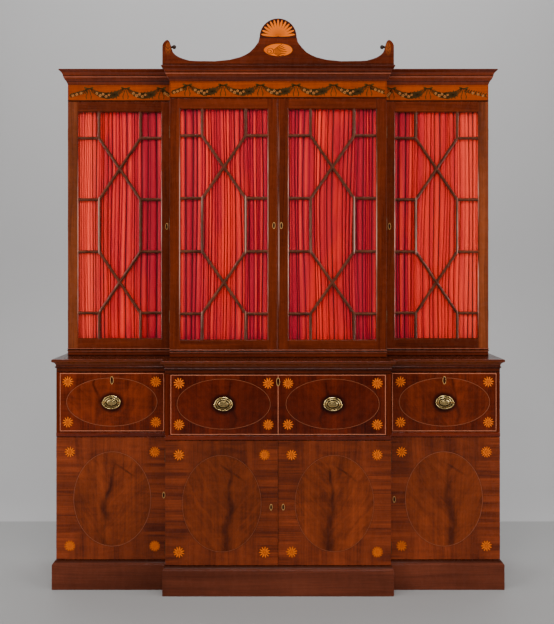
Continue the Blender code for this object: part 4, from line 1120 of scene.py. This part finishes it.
def inlay_doors():
    """Oval, four rosettes and key plate on each cupboard door, a key plate on each glazed one."""
    chance = random.Random(77)
    for place in DOOR_PLACES:
        kind = place.split("_")[0]
        x, z = CUPBOARD_OVALS[place]
        work = Inlay(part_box(f"cupboard_door_{place}")[0][1])
        work.oval_line(x, z, *CUPBOARD_HALVES, CUPBOARD_LINES[kind])
        work.rosettes(x, z, *CUPBOARD_ROSETTES[kind], chance)
        work.key_plate(*CUPBOARD_KEYS[place], 0.0065, 0.0150)
        work.done(f"cupboard_inlay_{place}", f"cupboard_door_{place}")
    for place in DOOR_PLACES:
        work = Inlay(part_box(f"glass_{place}")[0][1] - GLASS_SETBACK)
        work.key_plate(GLAZED_KEYS[place], GLAZED_KEY_Z, 0.0070, 0.0160)
        work.done(f"key_plate_{place}", f"glazed_door_{place}")


FAN_Z = 2.5755
FAN_RADIUS = 0.0825
FAN_RIBS = 13
FAN_BASE = ((-0.086, 0.086), (2.5695, 2.5735))
SHELL_Z = 2.5130
SHELL_SIZE = (0.134, 0.062)
SHELL_RAYS = 8
SHELL_HINGE_X = -0.036
EAR_X = 0.517
EAR_Z = 2.5170
EAR_SIZE = (0.064, 0.026)
# Each ring of the shell's eye: its place and its size
SHELL_EYE = ((SHELL_HINGE_X, -0.006, 0.0170, "shade"), (-0.037, -0.006, 0.0145, "flute"),
             (-0.040, -0.008, 0.0095, "shade"), (-0.041, -0.008, 0.0070, "flute"))
# Each vein of an ear's leaf: how far up, length, width and lean
EAR_VEINS = ((0.020, 0.026, 0.0060, 0.0), (0.006, 0.024, 0.0055, 0.8), (0.006, 0.024, 0.0055, -0.8),
             (-0.012, 0.020, 0.005, 0.6), (-0.012, 0.020, 0.0050, -0.6))


def inlay_crest():
    """Fan, shell and ear leaves on the crest."""
    work = Inlay(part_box("pediment")[0][1])
    work.disc("shade", 0, FAN_Z, FAN_RADIUS, sides=48, height=0.5)
    for vert in work.bm.verts:
        vert.co.z = max(vert.co.z, FAN_Z)
    turns = [radians(7.5 + 13.75 * index) for index in range(FAN_RIBS)]
    work.radial("flute", 0, FAN_Z, 0.002, 0.0805, 0.0140, turns, 0.10, 1.0, 14)
    work.raised(work.strip(*FAN_BASE), "shade")
    work.leaf("flute", 0, SHELL_Z, *SHELL_SIZE, 0.0, 0.80, 40, 0.8)
    for index in range(SHELL_RAYS):
        turn = -0.46 + 0.145 * index
        reach = 0.080 - 0.0035 * abs(index - 3)
        work.leaf("shade", SHELL_HINGE_X + reach * 0.60 * cos(turn),
                  SHELL_Z - 0.008 + reach * 0.60 * sin(turn), reach * 0.80, 0.0046,
                  turn + 0.05, 0.3, 8, 1.2)
    for x, z, size, finish in SHELL_EYE:
        work.disc(finish, x, SHELL_Z + z, size, size * 0.85, 20, 1.9 - 40 * size)
    for _, sign in SIDES:
        work.leaf("ear", sign * EAR_X, EAR_Z, *EAR_SIZE, pi / 2, 0.8, 24, 0.7)
        for up, length, width, lean in EAR_VEINS:
            work.leaf("shade", sign * EAR_X + 0.006 * sin(-lean), EAR_Z + up, length,
                      width * 0.5, pi / 2 + lean, 0.4, 8)
    work.done("crest_inlay", "pediment")


def bow(work, x, z):
    """A ribbon bow: two loops, crossed ends and two long tails."""
    for _, sign in SIDES:
        for lift, length, width in ((0.30, 0.024, 0.0105), (-0.35, 0.019, 0.0070)):
            work.leaf("ribbon", x + sign * 0.0120, z + 0.018 + lift * 0.010, length, width,
                      lift if sign > 0 else pi - lift)
        work.leaf("ribbon", x + sign * 0.007, z - 0.002, 0.036, 0.0052,
                  -pi / 2 + sign * 0.30, 0.7)
        work.leaf("ribbon", x + sign * 0.012, z - 0.024, 0.020, 0.0055,
                  -pi / 2 - sign * 0.15, 0.7)
    work.disc("leaf", x, z + 0.018, 0.0050, sides=10, height=1.5)


SWAG_STEPS = 24
SWAG_SHARE = 0.86
SWAG_DROP = 0.028
# Each flower of a garland: its share along, how low, and its size
FLOWERS = ((0.22, 0.012, 0.0120), (0.31, 0.023, 0.0135), (0.39, 0.016, 0.0120),
           (0.47, 0.027, 0.0125), (0.55, 0.019, 0.0100))
TUFT_LEAVES = 17


def five_petals(start):
    return [start + FULL_TURN * index / 5 for index in range(5)]


def garland(work, x, z, span, chance):
    """Between two bows: dark leaves all along, small pale flowers at the middle, and a tuft."""
    for index in range(SWAG_STEPS + 1):
        share = index / SWAG_STEPS
        drop = SWAG_DROP * (1 - (2 * share - 1) ** 2)
        slope = atan2(SWAG_DROP * 4 * (2 * share - 1), span * SWAG_SHARE)
        size = 0.0105 + 0.0080 * (1 - abs(2 * share - 1))
        for _, sign in SIDES:
            turn = slope + sign * (0.8 + chance.uniform(-0.25, 0.25))
            work.leaf("leaf", x + span * (0.07 + SWAG_SHARE * share),
                      z + 0.013 - drop + sign * size * 0.42, size * 1.45, size * 0.50, turn, 0.3, 8)
    for share, low, size in FLOWERS:
        spot = (x + span * share, z + 0.008 - low)
        work.radial("rose", *spot, 0.001, size * 0.58, size * 0.36,
                    five_petals(chance.uniform(0, 1)), 0.5, 1.3, 8)
        work.disc("leaf", *spot, size * 0.15, sides=8, height=1.7)
    for index in range(TUFT_LEAVES):
        turn = FULL_TURN * index / TUFT_LEAVES
        reach = 0.009 if index % 2 else 0.017
        work.leaf("leaf", x + span * 0.70 + reach * cos(turn),
                  z - 0.011 + 0.75 * reach * sin(turn), 0.019, 0.0068, turn, 0.3, 8, 1.2)


def loose_end(work, x, z, reach):
    """Half a garland that runs out to the end of its board."""
    for index in range(1, 10):
        share = index / 9
        for sign in (-1, 1):
            work.leaf("leaf", x + reach * share, z + 0.010 - 0.024 * share + sign * 0.004, 0.0175,
                      0.0080, sign * 0.8, 0.3, 8)
    for share in (0.42, 0.66, 0.88):
        turns = [FULL_TURN * (index + share) / 5 for index in range(5)]
        work.radial("rose", x + reach * share, z + 0.008 - 0.026 * share, 0.001, 0.0068, 0.0042,
                    turns, 0.5, 1.5, 8)


WING_SETBACK = 0.085


def inlay_frieze():
    """Bows and garlands along the satinwood frieze; the bows stand where the photo has them."""
    chance = random.Random(5)
    low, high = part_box("frieze")
    z = (low[2] + high[2]) / 2 + 0.004
    work = Inlay(low[1])
    for setback, bows, ends in (
            (0.0, (-0.4290, -0.2605, -0.0842, 0.0846, 0.2620, 0.4308), (-0.500, 0.500)),
            (WING_SETBACK, (-0.9131, -0.7357, -0.5631), (-1.000, -0.525)),
            (WING_SETBACK, (0.5472, 0.7232, 0.8948), (0.525, 1.000))):
        work.front_y = low[1] + setback
        for x in bows:
            bow(work, x, z)
        for first, second in zip(bows, bows[1:]):
            garland(work, first, z, second - first, chance)
        for x in ends:
            nearest = min(bows, key=lambda place: abs(place - x))
            loose_end(work, nearest, z, x - nearest)
        work.bordered(work.strip((ends[0] - 0.010, ends[1] + 0.010),
                                 (low[2] + 0.004, high[2] - 0.004)), "shade", 0.0012)
    work.done("frieze_inlay", "frieze")


FLOOR_HALF = 9
FLOOR_LENGTH = 10.6
CURVE_STEP = 0.31
BACKDROP_HEIGHT = 6.5


def set_stage():
    """Pale seamless floor that curves up into the backdrop."""
    material, w, shader, place = new_material("studio paper")
    tone = w.noise(place, 0.7)
    paper = w.mix(tone, (0.51, 0.51, 0.52), (0.55, 0.55, 0.56))
    ground = w.mix(tone, (0.365, 0.367, 0.371), (0.395, 0.397, 0.400))
    near = w.split(place)[1].ramp(0.94, 0.97, 1.0, 0.0)
    w.fill(shader.inputs, Base_Color=w.mix(near, paper, ground), Roughness=0.75,
           Specular_IOR_Level=0.2, Alpha=1.0 - w.take("Backfacing", "NewGeometry"))
    bm = bmesh.new()
    reach = [bm.edges.new([bm.verts.new((x, -FLOOR_HALF, 0)) for x in (-FLOOR_HALF, FLOOR_HALF)])]
    steps = [(0, FLOOR_LENGTH, 0)]
    for turn in range(8):
        angle = radians(5.6 + 11.25 * turn)
        steps.append((0, CURVE_STEP * cos(angle), CURVE_STEP * sin(angle)))
    for step in steps + [(0, 0, BACKDROP_HEIGHT)]:
        grown = bmesh.ops.extrude_edge_only(bm, edges=reach)["geom"]
        bmesh.ops.translate(bm, verts=verts_of(grown), vec=step)
        reach = [item for item in grown if isinstance(item, bmesh.types.BMEdge)
                 and all(vert in grown for vert in item.verts)]
    bm.normal_update()
    lowest = min(bm.faces, key=lambda face: face.calc_center_median().z)
    if lowest.normal.z < 0:
        bmesh.ops.reverse_faces(bm, faces=bm.faces)
    for face in bm.faces:
        face.smooth = True
    new_object("floor", bm, material)


# Each light: its place, what it points at, its size, its power and its colour
LIGHTS = {
    "left box": ((-4.0, -3.9, 2.5), (0, 0, 1.3), (2.6, 4.0), 152, (1.0, 0.98, 0.95)),
    "right box": ((4.0, -3.9, 2.3), (0, 0, 1.3), (2.6, 4.0), 137, (1.0, 0.98, 0.96)),
    "overhead": ((0, -4.7, 6.1), (0, 0, 1.0), (3.4, 1.6), 220, (1.0, 0.98, 0.95)),
    "left edge light": ((-3.6, -0.9, 1.7), (0, -0.2, 1.6), (0.5, 2.8), 34, (1, 0.97, 0.94)),
    "right edge light": ((3.6, -0.9, 1.7), (0, -0.2, 1.6), (0.5, 2.8), 34, (1, 0.97, 0.94)),
    "backdrop wash": ((0, 1.2, 5.6), (0, 3.1, 0.2), (6.0, 1.0), 74, (1.0, 1.0, 1.0)),
    "back light": ((0, 2.9, 5.8), (0, 0.3, 1.2), (5.0, 1.5), 90, (1.0, 0.99, 0.97)),
}


def set_lights():
    """Soft boxes at both sides and overhead, edge lights, a wash on the backdrop, a back light."""
    for name, (place, target, size, power, colour) in LIGHTS.items():
        light = bpy.data.lights.new(name, "AREA")
        light.shape = "RECTANGLE"
        light.size, light.size_y = size
        light.energy = power
        light.color = colour
        made = shown(name, light)
        made.location = place
        made.rotation_euler = (Vector(target) - Vector(place)).to_track_quat("-Z", "Y").to_euler()
    world = bpy.data.worlds.new("studio")
    world.use_nodes = True
    w = Wiring(world.node_tree)
    seen = w.take("Result", "MapRange", Value=w.take("Is Camera Ray", "LightPath"), To_Min=0.05,
                  To_Max=0.50)
    w.fill(w.tree.nodes["Background"].inputs, Color=(1.0, 1.0, 1.0), Strength=seen)
    bpy.context.scene.world = world


EYE_Y = -4.469
EYE_Z = 1.489


def set_camera():
    """Level camera, a little above the middle of the case, straight in front."""
    camera = bpy.data.cameras.new("camera")
    camera.lens = 53.25
    camera.sensor_width = 36
    camera.shift_x = -0.0018
    camera.shift_y = -0.0705
    made = shown("camera", camera)
    made.location = (0, EYE_Y, EYE_Z)
    made.rotation_euler = (pi / 2, 0, 0)
    bpy.context.scene.camera = made


dress_model()
soften_model()
ear_knobs()
writing_panel()
for number, door_place in enumerate(DOOR_PLACES):
    gathered_curtain(door_place, random.Random(100 + number))
    handle(door_place)
inlay_drawers()
inlay_doors()
inlay_crest()
inlay_frieze()
set_stage()
set_lights()
set_camera()
